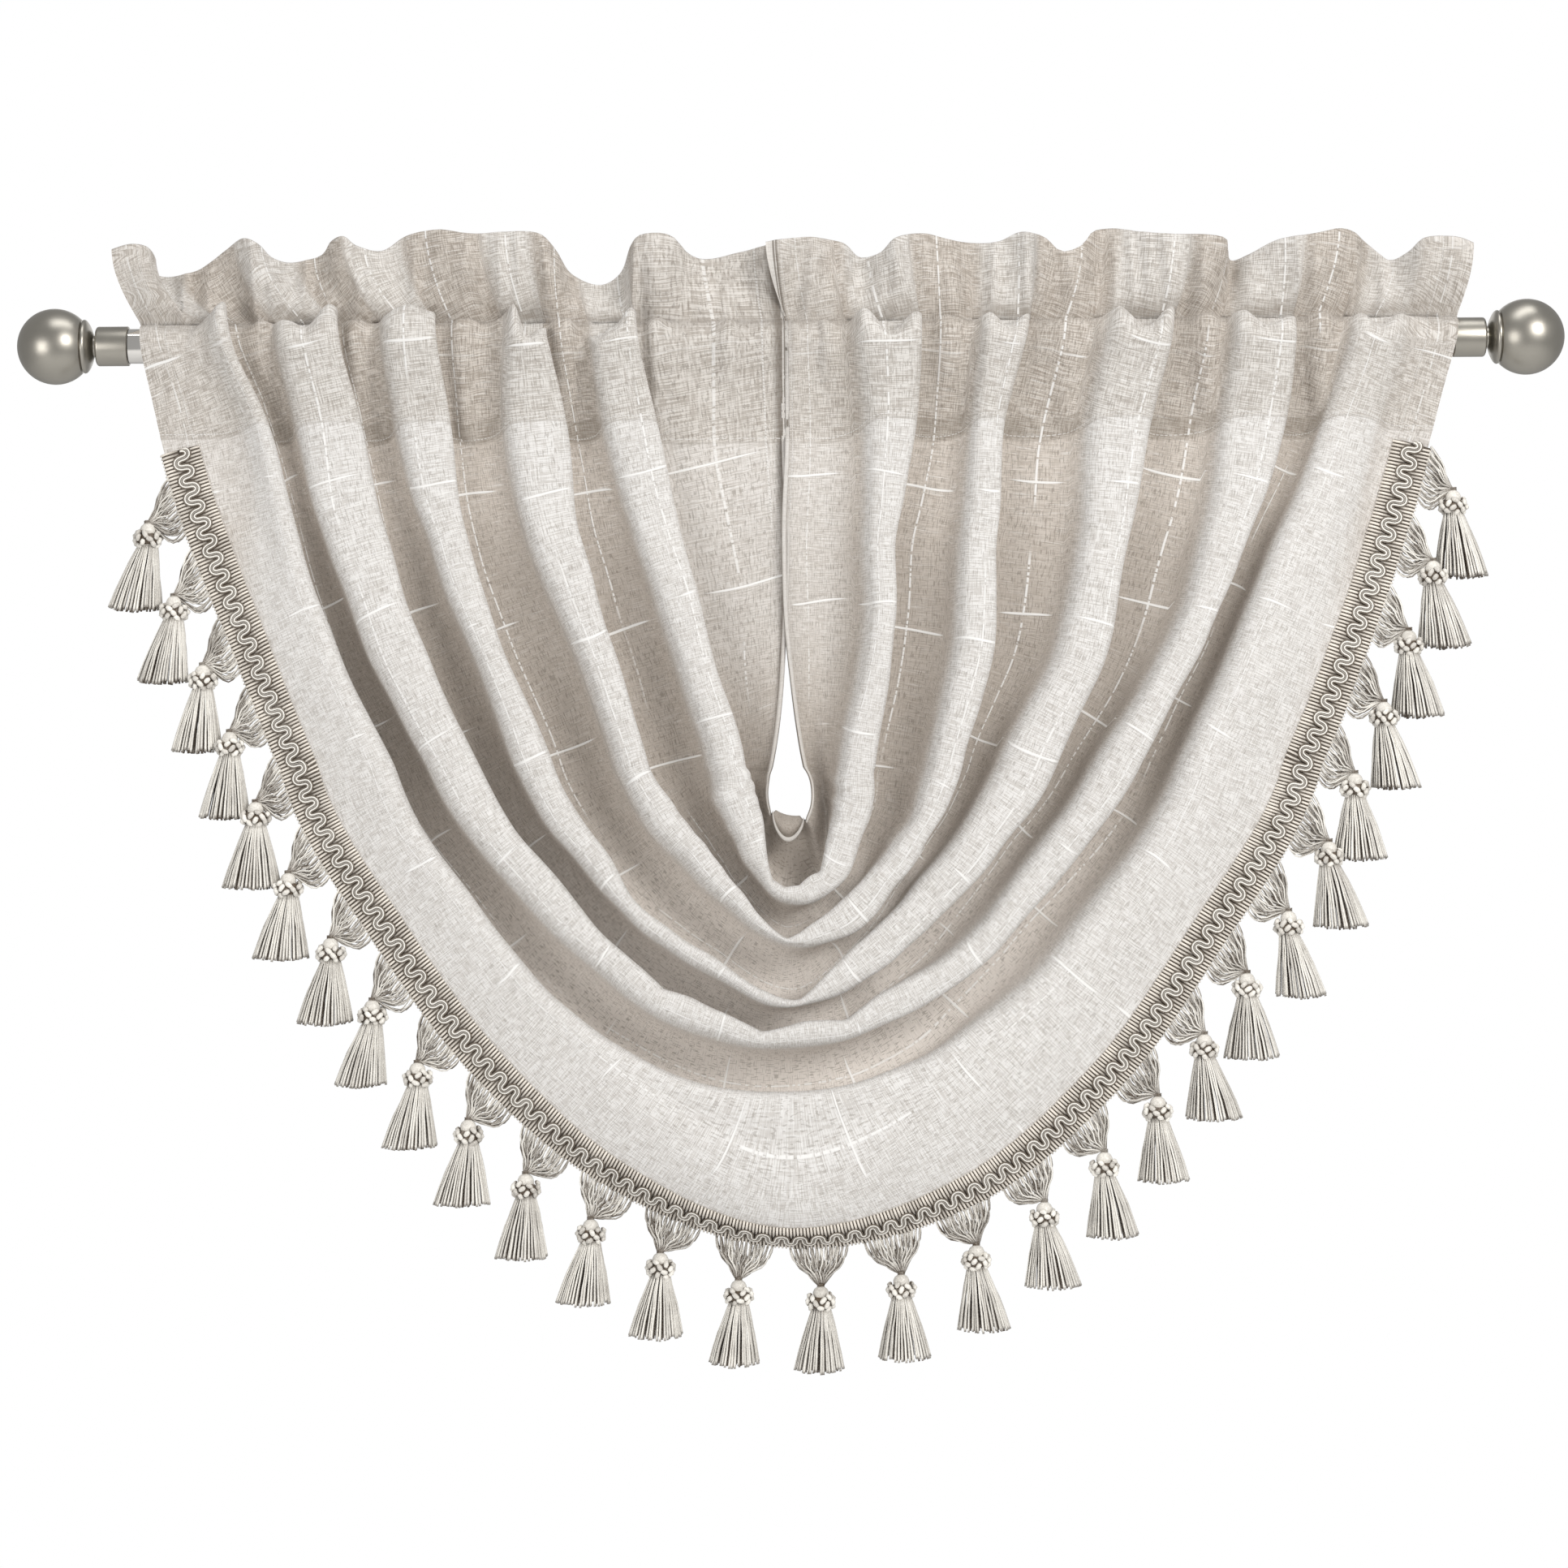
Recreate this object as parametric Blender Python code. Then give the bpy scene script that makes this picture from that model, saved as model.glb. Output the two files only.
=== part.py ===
"""Swag valance on a curtain rod.

One band of thin cloth is gathered on the rod at both of its ends and hangs
between them as a swag of five nested folds around a closed centre slit.  Its
outer edge carries a woven braid and a fringe of tassels.  The rod is a plain
bar with a collar and a ball finial at each end.

Frame: +X runs along the rod to the right, -Y faces the room, +Z is up, and
the origin is the centre of the rod.  Sizes below are in millimetres and are
turned into metres where a vertex is made.
"""

import math

import bmesh
import bpy
from mathutils import Vector

MM = 0.001

# ---------------------------------------------------------------- rod sizes
ROD_DIAMETER = 28.0
COLLAR_DIAMETER = 31.6
COLLAR_LENGTH = 26.0
COLLAR_LEFT_X = -524.0
COLLAR_RIGHT_X = 535.0
BALL_DIAMETER = 60.6
NECK_DIAMETER = 17.0
NECK_LENGTH = 2.6
CAP_DIAMETER = 43.0
CAP_LENGTH = 7.4
GROOVE_WIDTH = 1.6
TOUCH_GAP = 0.3

# -------------------------------------------------------------- cloth sizes
SHEET = 2.0
HEADING_LAYERS = 4.0
OVERHANG = 9.0
PANEL_FRONT_DEPTH = 12.0
SWAG_STEPS = 2

# Where the lips of the folds lie.  Each row is a line across the cloth that
# starts at the slit: its start lies `drop` below the rod, and it points
# `turn` degrees from straight left (0) through straight down (90) to
# straight right (180).  `curl` is how far the braided edge turns back toward
# the wall.  The other columns are distances from that start to the outer
# edge, to the lips of folds 1 (outermost) to 5, and to the slit hem.
STATION_COLUMNS = (
    "drop", "turn", "curl", "edge", "lip1", "lip2", "lip3", "lip4", "lip5", "hem",
)
STATIONS = (
    (-16, 0.0, 0, 514, 440, 352, 275, 187, 116, 1),
    (80, 0.0, 0, 498, 410, 336, 265, 172, 101, 1),
    (160, 0.0, 0, 473, 383, 314, 251, 160, 79, -2),
    (250, 0.0, 0, 437, 350, 282, 219, 134, 60, 2),
    (340, 0.0, 0, 401, 309, 242, 182, 109, 36, 13),
    (340, 22.5, 3, 355, 268, 204, 159, 91, 36, 17),
    (340, 45.0, 8, 348, 258, 195, 156, 89, 42, 22),
    (340, 67.5, 20, 363, 258, 197, 159, 102, 60, 36),
    (340, 90.0, 26, 382, 257, 209, 180, 136, 95, 61),
    (340, 112.5, 18, 378, 259, 219, 179, 144, 96, 42),
    (340, 135.0, 9, 366, 261, 220, 171, 129, 84, 22),
    (340, 157.5, 3, 373, 276, 233, 183, 128, 75, 16),
    (340, 180.0, 0, 424, 321, 280, 215, 141, 71, 12),
    (250, 180.0, 0, 461, 365, 329, 255, 164, 85, 1),
    (160, 180.0, 0, 493, 407, 368, 274, 170, 90, -2),
    (80, 180.0, 0, 517, 441, 400, 293, 176, 106, 1),
    (-16, 180.0, 0, 538, 474, 408, 310, 195, 110, 1),
)
LEFT_SEAM = 1
RIGHT_SEAM = 15
BOTTOM = 8

# One fold from the valley on its soft side to the valley behind its lip.
# `across` runs from the lip (0) to the next lip on the soft side (1), and
# `rise` from the valley (0) to the crest (1).
# `open_across` is the same where the fold stands upright at the heading.
FOLD = (
    # across, open_across, rise
    (1.00, 0.88, 0.00),
    (0.80, 0.76, 0.10),
    (0.60, 0.60, 0.40),
    (0.44, 0.44, 0.80),
    (0.20, 0.20, 1.00),
    (0.05, 0.06, 0.97),
    (0.00, 0.00, 0.78),
    (0.04, -0.05, 0.38),
)

# How the heading and the rod pocket lie, from the top down.  `front` and
# `back` are how far each face stands before and behind the rod's axis,
# `gather` is how far a fold or ruffle adds to the front, and `tunnel` tells
# how the way through for the rod runs there: its top, its wall, its bottom.
HEADING = (
    # height, station, front, gather, back, tunnel
    (74.0, -0.55, 2.0, 0.0, 2.0, "none"),
    (52.0, -0.30, 2.0, 0.0, 2.0, "none"),
    (34.0, -0.12, 2.0, 0.0, 2.0, "none"),
    (20.5, 0.00, 2.0, 4.0, 2.0, "top"),
    (9.5, 0.10, 17.5, 13.0, 16.5, "wall"),
    (-4.0, 0.25, 19.5, 18.0, 18.5, "wall"),
    (-22.0, 0.45, 15.0, 20.0, 13.0, "wall"),
    (-42.0, 0.65, 8.0, 20.0, 0.0, "bottom"),
)
STITCH_ROW = 3
RUFFLES_PER_SIDE = 7
RUFFLE_DEPTH = (16.0, 14.0, 9.0)
RUFFLE_RISE = 7.0
HEADING_FLARE = (26.0, 16.0, 7.0)

# -------------------------------------------------------------- braid sizes
BRAID_WIDTH = 30.0
BRAID_THICKNESS = 2.6
BRAID_OVERLAP = 2.0
BRAID_GAP = 1.4

# ------------------------------------------------------------- tassel sizes
TASSEL_COUNT = 29
TASSEL_INSET_LEFT = 42.5
TASSEL_INSET_RIGHT = 20.5
FAN_HALF_WIDTH = 19.0
FAN_THICKNESS = 4.0
FAN_GAP = 1.3
NECK_OUT = 21.0
NECK_UNDER = 14.0
NECK_DOWN = 14.0
TASSEL_SIDES = 6
SKIRT_LENGTH = 58.0
SKIRT_RADIUS = 13.5
SKIRT_SWING = 8.0
SKIRT_BACK = 9.0
LOCK_SPREAD = 2.2
TASSEL_PROFILE = (
    # radius, height above the knot's centre
    (3.0, 12.5),
    (9.0, 8.5),
    (11.6, 1.0),
    (9.5, -7.0),
    (7.6, -10.5),
)

COLOURS = {
    "linen": ((0.80, 0.77, 0.73, 1.0), 0.85, 0.0),
    "braid": ((0.56, 0.51, 0.43, 1.0), 0.70, 0.0),
    "tassel": ((0.66, 0.61, 0.53, 1.0), 0.50, 0.0),
    "rod": ((0.72, 0.70, 0.67, 1.0), 0.15, 1.0),
    "finial": ((0.36, 0.34, 0.30, 1.0), 0.38, 1.0),
}


# ------------------------------------------------------------------ helpers
def clear_scene():
    for item in list(bpy.data.objects):
        bpy.data.objects.remove(item, do_unlink=True)


def material(name):
    colour, roughness, metallic = COLOURS[name]
    made = bpy.data.materials.new(name)
    made.use_nodes = True
    shader = made.node_tree.nodes["Principled BSDF"]
    shader.inputs["Base Color"].default_value = colour
    shader.inputs["Roughness"].default_value = roughness
    shader.inputs["Metallic"].default_value = metallic
    return made


def finish(name, mesh, finish_material, smooth=True):
    """Turn a bmesh in millimetres into a named object in metres."""
    for vert in mesh.verts:
        vert.co *= MM
    data = bpy.data.meshes.new(name)
    mesh.to_mesh(data)
    mesh.free()
    data.materials.append(finish_material)
    if smooth:
        data.shade_smooth()
        data.set_sharp_from_angle(angle=math.radians(50))
    made = bpy.data.objects.new(name, data)
    bpy.context.collection.objects.link(made)
    return made


def lerp(low, high, part):
    return low + (high - low) * part


def clamp(value, low=0.0, high=1.0):
    return max(low, min(high, value))


def smooth(value):
    value = clamp(value)
    return value * value * (3.0 - 2.0 * value)


def spline(values, at):
    """Read a list as a smooth curve; `at` counts its entries from 0."""
    last = len(values) - 1
    at = clamp(at, 0.0, float(last))
    index = min(int(at), last - 1)
    part = at - index
    before = values[max(index - 1, 0)]
    start = values[index]
    end = values[index + 1]
    after = values[min(index + 2, last)]
    slope_in = (end - before) / 2.0
    slope_out = (after - start) / 2.0
    square = part * part
    cube = square * part
    return (
        (2 * cube - 3 * square + 1) * start
        + (cube - 2 * square + part) * slope_in
        + (3 * square - 2 * cube) * end
        + (cube - square) * slope_out
    )


# -------------------------------------------------------- shape of the folds
def station_value(column, at):
    index = STATION_COLUMNS.index(column)
    values = [row[index] for row in STATIONS]
    if column in ("drop", "turn"):
        low = min(int(at), len(values) - 2)
        return lerp(values[low], values[low + 1], at - low)
    return spline(values, at)


def sag(at):
    """0 where the cloth leaves the heading, 1 at the bottom of the swag."""
    return math.sin(math.pi * clamp((at - LEFT_SEAM) / (RIGHT_SEAM - LEFT_SEAM)))


def lean(at):
    """1 where the lips face the slit, -1 where they face the outer edge."""
    turn = station_value("turn", at)
    side = clamp((106.0 - turn) / 42.0, -1.0, 1.0)
    strength = 0.45 + 0.55 * smooth(sag(at) * 3.0)
    return math.sin(side * math.pi / 2.0) * strength


def valley_depth(at):
    return lerp(5.0, -7.0, sag(at))


def crest_depth(at, fold):
    """How far a fold's crest stands before the rod's axis."""
    reach = lerp(27.0, 44.0, smooth(sag(at) * 1.6))
    outer_fold_extra = (3 - fold) * 3.5 * sag(at)
    return reach + outer_fold_extra


def section(at):
    """The cloth's cut along one station line, from outer edge to slit hem.

    Returns pairs of (distance from the line's start, depth before the rod).
    """
    edge = station_value("edge", at)
    hem = station_value("hem", at)
    lips = [station_value("lip%d" % fold, at) for fold in range(1, 6)]
    tilt = (1.0 + lean(at)) / 2.0
    bent = smooth(sag(at) * 2.5)
    low = valley_depth(at)
    curl = clamp(station_value("curl", at), 0.0, BRAID_WIDTH - BRAID_OVERLAP - 1.0)
    edge_depth = lerp(PANEL_FRONT_DEPTH, 36.0, sag(at))
    points = []

    def mix(inward, outward):
        return lerp(outward, inward, tilt)

    for fold in range(1, 6):
        lip = lips[fold - 1]
        outer = edge if fold == 1 else lips[fold - 2]
        inner = hem if fold == 5 else lips[fold]
        high = crest_depth(at, fold)
        for row in range(8):
            inward = lip + fold_across(row, bent) * (outer - lip)
            inward_rise = FOLD[row][2]
            if row == 0:
                inward = outer + lerp(-0.12 * (outer - lip), OVERHANG, bent)
                outward = lip - lerp(-0.12 * (outer - lip), OVERHANG, bent)
                outward_rise = 0.0
            else:
                outward = lip - fold_across(8 - row, bent) * (lip - inner)
                outward_rise = FOLD[8 - row][2]
            if fold == 1 and row < 4:
                outward = inward = panel_distance(row, lip, edge, curl)
                inward_rise = outward_rise = 0.0
            if fold == 5 and row > 4:
                outward = lip - fold_across(8 - row, bent) * 0.7 * (lip - inner)
            depth = lerp(low, high, mix(inward_rise, outward_rise))
            if fold == 1 and row < 4:
                depth = lerp(edge_depth, high * 0.97, smooth(row / 3.6))
                depth -= curl if row == 0 else 0.0
            points.append((mix(inward, outward), depth))

    points.extend(slit_rows(at, lips[4], hem, tilt, bent, low))
    return points


def fold_across(row, bent):
    """Across value of a row of the fold; `bent` is 0 upright, 1 fallen over."""
    return lerp(FOLD[row][1], FOLD[row][0], bent)


def panel_distance(row, lip, edge, curl):
    """Rows of the plain panel between the braid and the outermost fold."""
    width = edge - lip
    braided = 1.0 + math.sqrt((BRAID_WIDTH - BRAID_OVERLAP) ** 2 - curl ** 2)
    return (edge, edge - braided, lip + 0.46 * width, lip + 0.30 * width)[row]


def slit_rows(at, lip, hem, tilt, bent, low):
    """Valley beside the innermost fold, then the plain strip to the slit."""
    gap = lip - hem
    tuck = lerp(-0.12 * gap, OVERHANG, bent)
    roll = smooth((sag(at) - 0.95) / 0.05)
    side = -1.0 if at < BOTTOM else 1.0
    hem_depth = 7.5 + 3.0 * side * (1.0 - sag(at)) + 20.0 * roll
    rows = []
    for part in (0.0, 0.35, 0.70):
        inward = lerp(lip + tuck, hem, part)
        outward = lerp(lip - 0.70 * gap, hem, part)
        distance = lerp(outward, inward, tilt)
        flipped = hem - lerp(-12.0, 17.0, part / 0.70)
        if part > 0.0:
            distance = lerp(distance, flipped, roll)
        depth = lerp(low, hem_depth, part * part * (1.0 - roll * 0.55))
        rows.append((distance, depth))
    rows.append((hem, hem_depth))
    return rows


def place(at, distance, depth, drop=None):
    """Point for a distance and depth on a station line, or on one `drop` down."""
    start = station_value("drop", at) if drop is None else drop
    turn = math.radians(station_value("turn", at))
    return Vector((
        -distance * math.cos(turn),
        -depth,
        -start - distance * math.sin(turn),
    ))


# --------------------------------------------------------- cloth as one body
def swag_stations():
    """Station numbers of the rows between the two pocket seams."""
    steps = (RIGHT_SEAM - LEFT_SEAM) * SWAG_STEPS
    return [LEFT_SEAM + step / SWAG_STEPS for step in range(steps + 1)]


def ruffle(column, columns, row, right):
    """Depth and rise of the gathered heading above the stitch line."""
    part = column / (columns - 1)
    phase = 2.0 * math.pi * RUFFLES_PER_SIDE * part + (0.9 if right else 0.0)
    wander = 0.8 * math.sin(2.3 * phase / RUFFLES_PER_SIDE + 1.0)
    wave = math.sin(phase + wander)
    rise = RUFFLE_RISE * math.sin(0.5 * phase + 0.6) if row == 0 else 0.0
    return RUFFLE_DEPTH[row] * wave, rise


def heading_row(row, right):
    """Front, back and tunnel points of one row of a gathered heading."""
    height, station, front, gather, back, _ = HEADING[row]
    at = (RIGHT_SEAM + 1 - max(station, 0.0)) if right else max(station, 0.0)
    cut = section(at)
    columns = len(cut)
    low = min(depth for _, depth in cut)
    high = max(depth for _, depth in cut)
    fronts, backs = [], []
    for column, (distance, depth) in enumerate(cut):
        swell = clamp((depth - low) / (high - low))
        rise = 0.0
        if row < STITCH_ROW:
            even = lerp(cut[0][0], cut[-1][0], column / (columns - 1))
            distance = lerp(distance, even, min(1.0, -station * 2.5))
            outward = smooth(1.0 - column / 5.0)
            distance += outward * HEADING_FLARE[row]
            wave, rise = ruffle(column, columns, row, right)
            lift = 4.0 * (1.0 if right else -1.0) * smooth((column - columns + 6) / 5)
            fore = front + wave + lift
            aft = fore - HEADING_LAYERS
        else:
            fore = front + gather * swell
            aft = -back if back else fore - HEADING_LAYERS
        fronts.append(place(at, distance, fore, -height - rise))
        backs.append(place(at, distance, aft, -height - rise))
    return fronts, backs


def sheet_normals(grid):
    """Unit normals of a grid of points, pointing toward the room."""
    rows, columns = len(grid), len(grid[0])
    normals = []
    for row in range(rows):
        line = []
        for column in range(columns):
            down = grid[min(row + 1, rows - 1)][column] - grid[max(row - 1, 0)][column]
            across = grid[row][min(column + 1, columns - 1)] - grid[row][max(column - 1, 0)]
            line.append(down.cross(across).normalized())
        normals.append(line)
    return normals


def cloth_layers():
    """Front and back points of every row, and tunnel points where there are any."""
    fronts, backs, kinds = [], [], []
    for row, entry in enumerate(HEADING):
        front, back = heading_row(row, right=False)
        fronts.append(front)
        backs.append(back)
        kinds.append(entry[5])
    swag = [[place(at, *point) for point in section(at)] for at in swag_stations()]
    normals = sheet_normals(swag)
    for row, line in enumerate(swag):
        layers = HEADING_LAYERS if row in (0, len(swag) - 1) else SHEET
        fronts.append(line)
        backs.append([
            point - normal * layers for point, normal in zip(line, normals[row])
        ])
        kinds.append("none")
    for row in reversed(range(len(HEADING))):
        front, back = heading_row(row, right=True)
        fronts.append(front)
        backs.append(back)
        kinds.append(HEADING[row][5])
    return fronts, backs, kinds


def tunnel_ring(fronts, backs, first):
    """Closed ring of inner points round the rod for every column.

    `first` is the row number of the tunnel's top or bottom, whichever comes
    first; the ring spans five rows.
    """
    wall = SHEET
    rings = []
    for column in range(len(fronts[0])):
        start = (fronts[first][column] + backs[first][column]) / 2.0
        end = (fronts[first + 4][column] + backs[first + 4][column]) / 2.0
        for tip, row in ((start, first), (end, first + 4)):
            if row in (STITCH_ROW, len(fronts) - 1 - STITCH_ROW):
                tip.y = 0.0
                tip.z -= 1.6
        front_side = [fronts[first + step][column] + Vector((0, wall, 0)) for step in (1, 2, 3)]
        back_side = [backs[first + step][column] - Vector((0, wall, 0)) for step in (3, 2, 1)]
        rings.append([start] + front_side + [end] + back_side)
    return rings


def make_cloth(linen):
    fronts, backs, kinds = cloth_layers()
    rows, columns = len(fronts), len(fronts[0])
    mesh = bmesh.new()
    front = [[mesh.verts.new(point) for point in line] for line in fronts]
    back = [[mesh.verts.new(point) for point in line] for line in backs]
    left_first = kinds.index("top")
    right_first = rows - 1 - left_first - 4
    tunnels = {}
    for first in (left_first, right_first):
        rings = tunnel_ring(fronts, backs, first)
        tunnels[first] = [[mesh.verts.new(point) for point in ring] for ring in rings]

    for row in range(rows - 1):
        for column in range(columns - 1):
            mesh.faces.new((
                front[row][column], front[row + 1][column],
                front[row + 1][column + 1], front[row][column + 1],
            ))
            mesh.faces.new((
                back[row][column], back[row][column + 1],
                back[row + 1][column + 1], back[row + 1][column],
            ))
    for row in (0, rows - 1):
        for column in range(columns - 1):
            mesh.faces.new((
                front[row][column], front[row][column + 1],
                back[row][column + 1], back[row][column],
            ))
    for rings in tunnels.values():
        size = len(rings[0])
        for column in range(columns - 1):
            for step in range(size):
                after = (step + 1) % size
                mesh.faces.new((
                    rings[column][step], rings[column][after],
                    rings[column + 1][after], rings[column + 1][step],
                ))
    for column in (0, columns - 1):
        close_side(mesh, front, back, tunnels, column)
    bmesh.ops.recalc_face_normals(mesh, faces=mesh.faces)
    bmesh.ops.triangulate(mesh, faces=mesh.faces)
    return finish("swag_cloth", mesh, linen)


def close_side(mesh, front, back, tunnels, column):
    """Cap the cloth at one side edge, leaving the two tunnels open."""
    rows = len(front)
    pocket = {}
    for first, rings in tunnels.items():
        for step in range(4):
            pocket[first + step] = (rings[column], step)
    tips = {}
    for first, rings in tunnels.items():
        tips[first] = rings[column][0]
        tips[first + 4] = rings[column][4]
    for row in range(rows - 1):
        ahead = row + 1
        if row in pocket:
            ring, step = pocket[row]
            size = len(ring)
            mesh.faces.new((
                front[row][column], front[ahead][column], ring[step + 1], ring[step],
            ))
            mesh.faces.new((
                ring[-step % size], ring[-(step + 1) % size],
                back[ahead][column], back[row][column],
            ))
            continue
        corners = [front[row][column], front[ahead][column]]
        if ahead in tips:
            corners.append(tips[ahead])
        corners.extend([back[ahead][column], back[row][column]])
        if row in tips:
            corners.append(tips[row])
        mesh.faces.new(corners)


# -------------------------------------------------------------------- braid
def edge_frames():
    """Cloth edge points with the directions inward and toward the room."""
    frames = []
    for at in [LEFT_SEAM + 0.1] + swag_stations()[1:-1] + [RIGHT_SEAM - 0.1]:
        cut = section(at)
        edge = place(at, *cut[0])
        inner = place(at, *cut[1])
        inward = (inner - edge).normalized()
        frames.append([edge, inward])
    for index, frame in enumerate(frames):
        after = frames[min(index + 1, len(frames) - 1)][0]
        before = frames[max(index - 1, 0)][0]
        along = (after - before).normalized()
        frame.append(along.cross(frame[1]).normalized())
    return frames


def make_braid(braid_material):
    mesh = bmesh.new()
    lines = []
    inside = BRAID_WIDTH - BRAID_OVERLAP
    outline = (
        # inward, toward the room
        (-BRAID_OVERLAP, BRAID_GAP),
        (inside, BRAID_GAP),
        (inside, BRAID_GAP + 0.6 * BRAID_THICKNESS),
        (0.62 * inside, BRAID_GAP + BRAID_THICKNESS),
        (0.30 * inside, BRAID_GAP + BRAID_THICKNESS),
        (-BRAID_OVERLAP, BRAID_GAP + 0.6 * BRAID_THICKNESS),
    )
    for edge, inward, forward in edge_frames():
        lines.append([
            mesh.verts.new(edge + inward * aside + forward * out)
            for aside, out in outline
        ])
    size = len(outline)
    for before, after in zip(lines, lines[1:]):
        for step in range(size):
            other = (step + 1) % size
            mesh.faces.new((before[step], before[other], after[other], after[step]))
    mesh.faces.new(lines[0])
    mesh.faces.new(list(reversed(lines[-1])))
    bmesh.ops.recalc_face_normals(mesh, faces=mesh.faces)
    bmesh.ops.triangulate(mesh, faces=mesh.faces)
    return finish("edge_braid", mesh, braid_material)


# ------------------------------------------------------------------ tassels
def edge_path():
    """Outer line of the braid as points with inward and forward directions."""
    path = []
    for edge, inward, forward in edge_frames():
        path.append((edge - inward * (BRAID_OVERLAP + FAN_GAP), inward, forward))
    return path


def point_on_path(path, length):
    """Point, inward and forward at a length along the braid's outer line."""
    for (start, inward, forward), (end, inward_end, forward_end) in zip(path, path[1:]):
        span = (end - start).length
        if length <= span:
            part = length / span
            return (
                start.lerp(end, part),
                inward.lerp(inward_end, part).normalized(),
                forward.lerp(forward_end, part).normalized(),
            )
        length -= span
    return path[-1]


def path_length(path):
    return sum((end[0] - start[0]).length for start, end in zip(path, path[1:]))


def make_tassel(index, path, total, tassel_material):
    spacing = (total - TASSEL_INSET_LEFT - TASSEL_INSET_RIGHT) / (TASSEL_COUNT - 1)
    length = TASSEL_INSET_LEFT + spacing * index
    anchor, inward, _ = point_on_path(path, length)
    inward = Vector((inward.x, 0.0, inward.z)).normalized()
    neck = anchor + Vector((
        -inward.x * NECK_OUT, 0.0, -inward.z * NECK_UNDER - NECK_DOWN,
    ))
    centre = neck + Vector((0, 0, -TASSEL_PROFILE[0][1]))
    mesh = bmesh.new()

    rings = []
    for radius, height in TASSEL_PROFILE:
        ring = []
        for side in range(TASSEL_SIDES):
            angle = 2.0 * math.pi * side / TASSEL_SIDES
            offset = Vector((-radius * math.cos(angle), -radius * math.sin(angle), height))
            ring.append(mesh.verts.new(centre + offset))
        rings.append(ring)
    fan = []
    for along, out in ((-1, 0.5), (-0.5, 1), (0.5, 1), (1, 0.5), (0.5, 0), (-0.5, 0)):
        at = clamp(length + along * FAN_HALF_WIDTH, 0.5, total - 0.5)
        point, _, ahead = point_on_path(path, at)
        fan.append(mesh.verts.new(point + ahead * (out * FAN_THICKNESS - 1.0)))
    rings.insert(0, fan)
    for upper, lower in zip(rings, rings[1:]):
        for side in range(TASSEL_SIDES):
            after = (side + 1) % TASSEL_SIDES
            mesh.faces.new((upper[side], lower[side], lower[after], upper[after]))
    mesh.faces.new(fan)
    hub = mesh.verts.new(centre + Vector((0, 0, TASSEL_PROFILE[-1][1])))
    roots = []
    for side in range(TASSEL_SIDES):
        after = (side + 1) % TASSEL_SIDES
        roots.append(mesh.faces.new((rings[-1][after], rings[-1][side], hub)))
    bmesh.ops.recalc_face_normals(mesh, faces=mesh.faces)
    swing = Vector((-inward.x * SKIRT_SWING, SKIRT_BACK, -SKIRT_LENGTH))
    hang_locks(mesh, roots, centre, swing)
    bmesh.ops.triangulate(mesh, faces=mesh.faces)
    return finish("tassel_%02d" % (index + 1), mesh, tassel_material, smooth=False)


def hang_locks(mesh, roots, centre, reach):
    """Grow one tapering lock of yarn from each face under the tassel's head.

    `reach` leads from the knot's centre to the middle of the skirt's hem.
    """
    bmesh.ops.inset_individual(mesh, faces=roots, thickness=0.7, use_even_offset=True)
    for root in roots:
        grown = bmesh.ops.extrude_discrete_faces(mesh, faces=[root])["faces"][0]
        middle = grown.calc_center_median()
        outward = Vector((middle.x - centre.x, middle.y - centre.y, 0.0)).normalized()
        for vert in grown.verts:
            spread = (vert.co - middle) * LOCK_SPREAD
            vert.co = centre + reach + outward * SKIRT_RADIUS + spread


# ---------------------------------------------------------------------- rod
def turned(name, profile, sides, metal):
    """Turn a closed profile of (x, radius) round the rod's axis."""
    mesh = bmesh.new()
    rings = []
    for x, radius in profile:
        if radius <= 0.0:
            rings.append([mesh.verts.new((x, 0.0, 0.0))])
            continue
        ring = []
        for side in range(sides):
            angle = 2.0 * math.pi * side / sides
            ring.append(mesh.verts.new((x, radius * math.cos(angle), radius * math.sin(angle))))
        rings.append(ring)
    for before, after in zip(rings, rings[1:]):
        for side in range(sides):
            other = (side + 1) % sides
            corners = [before[side % len(before)], after[side % len(after)]]
            if len(after) > 1:
                corners.append(after[other])
            if len(before) > 1:
                corners.append(before[other])
            mesh.faces.new(corners)
    bmesh.ops.recalc_face_normals(mesh, faces=mesh.faces)
    return finish(name, mesh, metal)


def make_rod(rod_metal):
    radius = ROD_DIAMETER / 2.0
    start = COLLAR_LEFT_X + TOUCH_GAP
    end = COLLAR_RIGHT_X - TOUCH_GAP
    profile = ((start, 0.0), (start, radius), (end, radius), (end, 0.0))
    return turned("rod", profile, 24, rod_metal)


def make_collar(name, inner_x, toward, metal):
    radius = COLLAR_DIAMETER / 2.0
    outer_x = inner_x + toward * COLLAR_LENGTH
    bevel = 2.0
    profile = (
        (inner_x, 0.0),
        (inner_x, radius),
        (outer_x - toward * bevel, radius),
        (outer_x, radius - bevel),
        (outer_x, 0.0),
    )
    return turned(name, profile, 24, metal)


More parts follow.
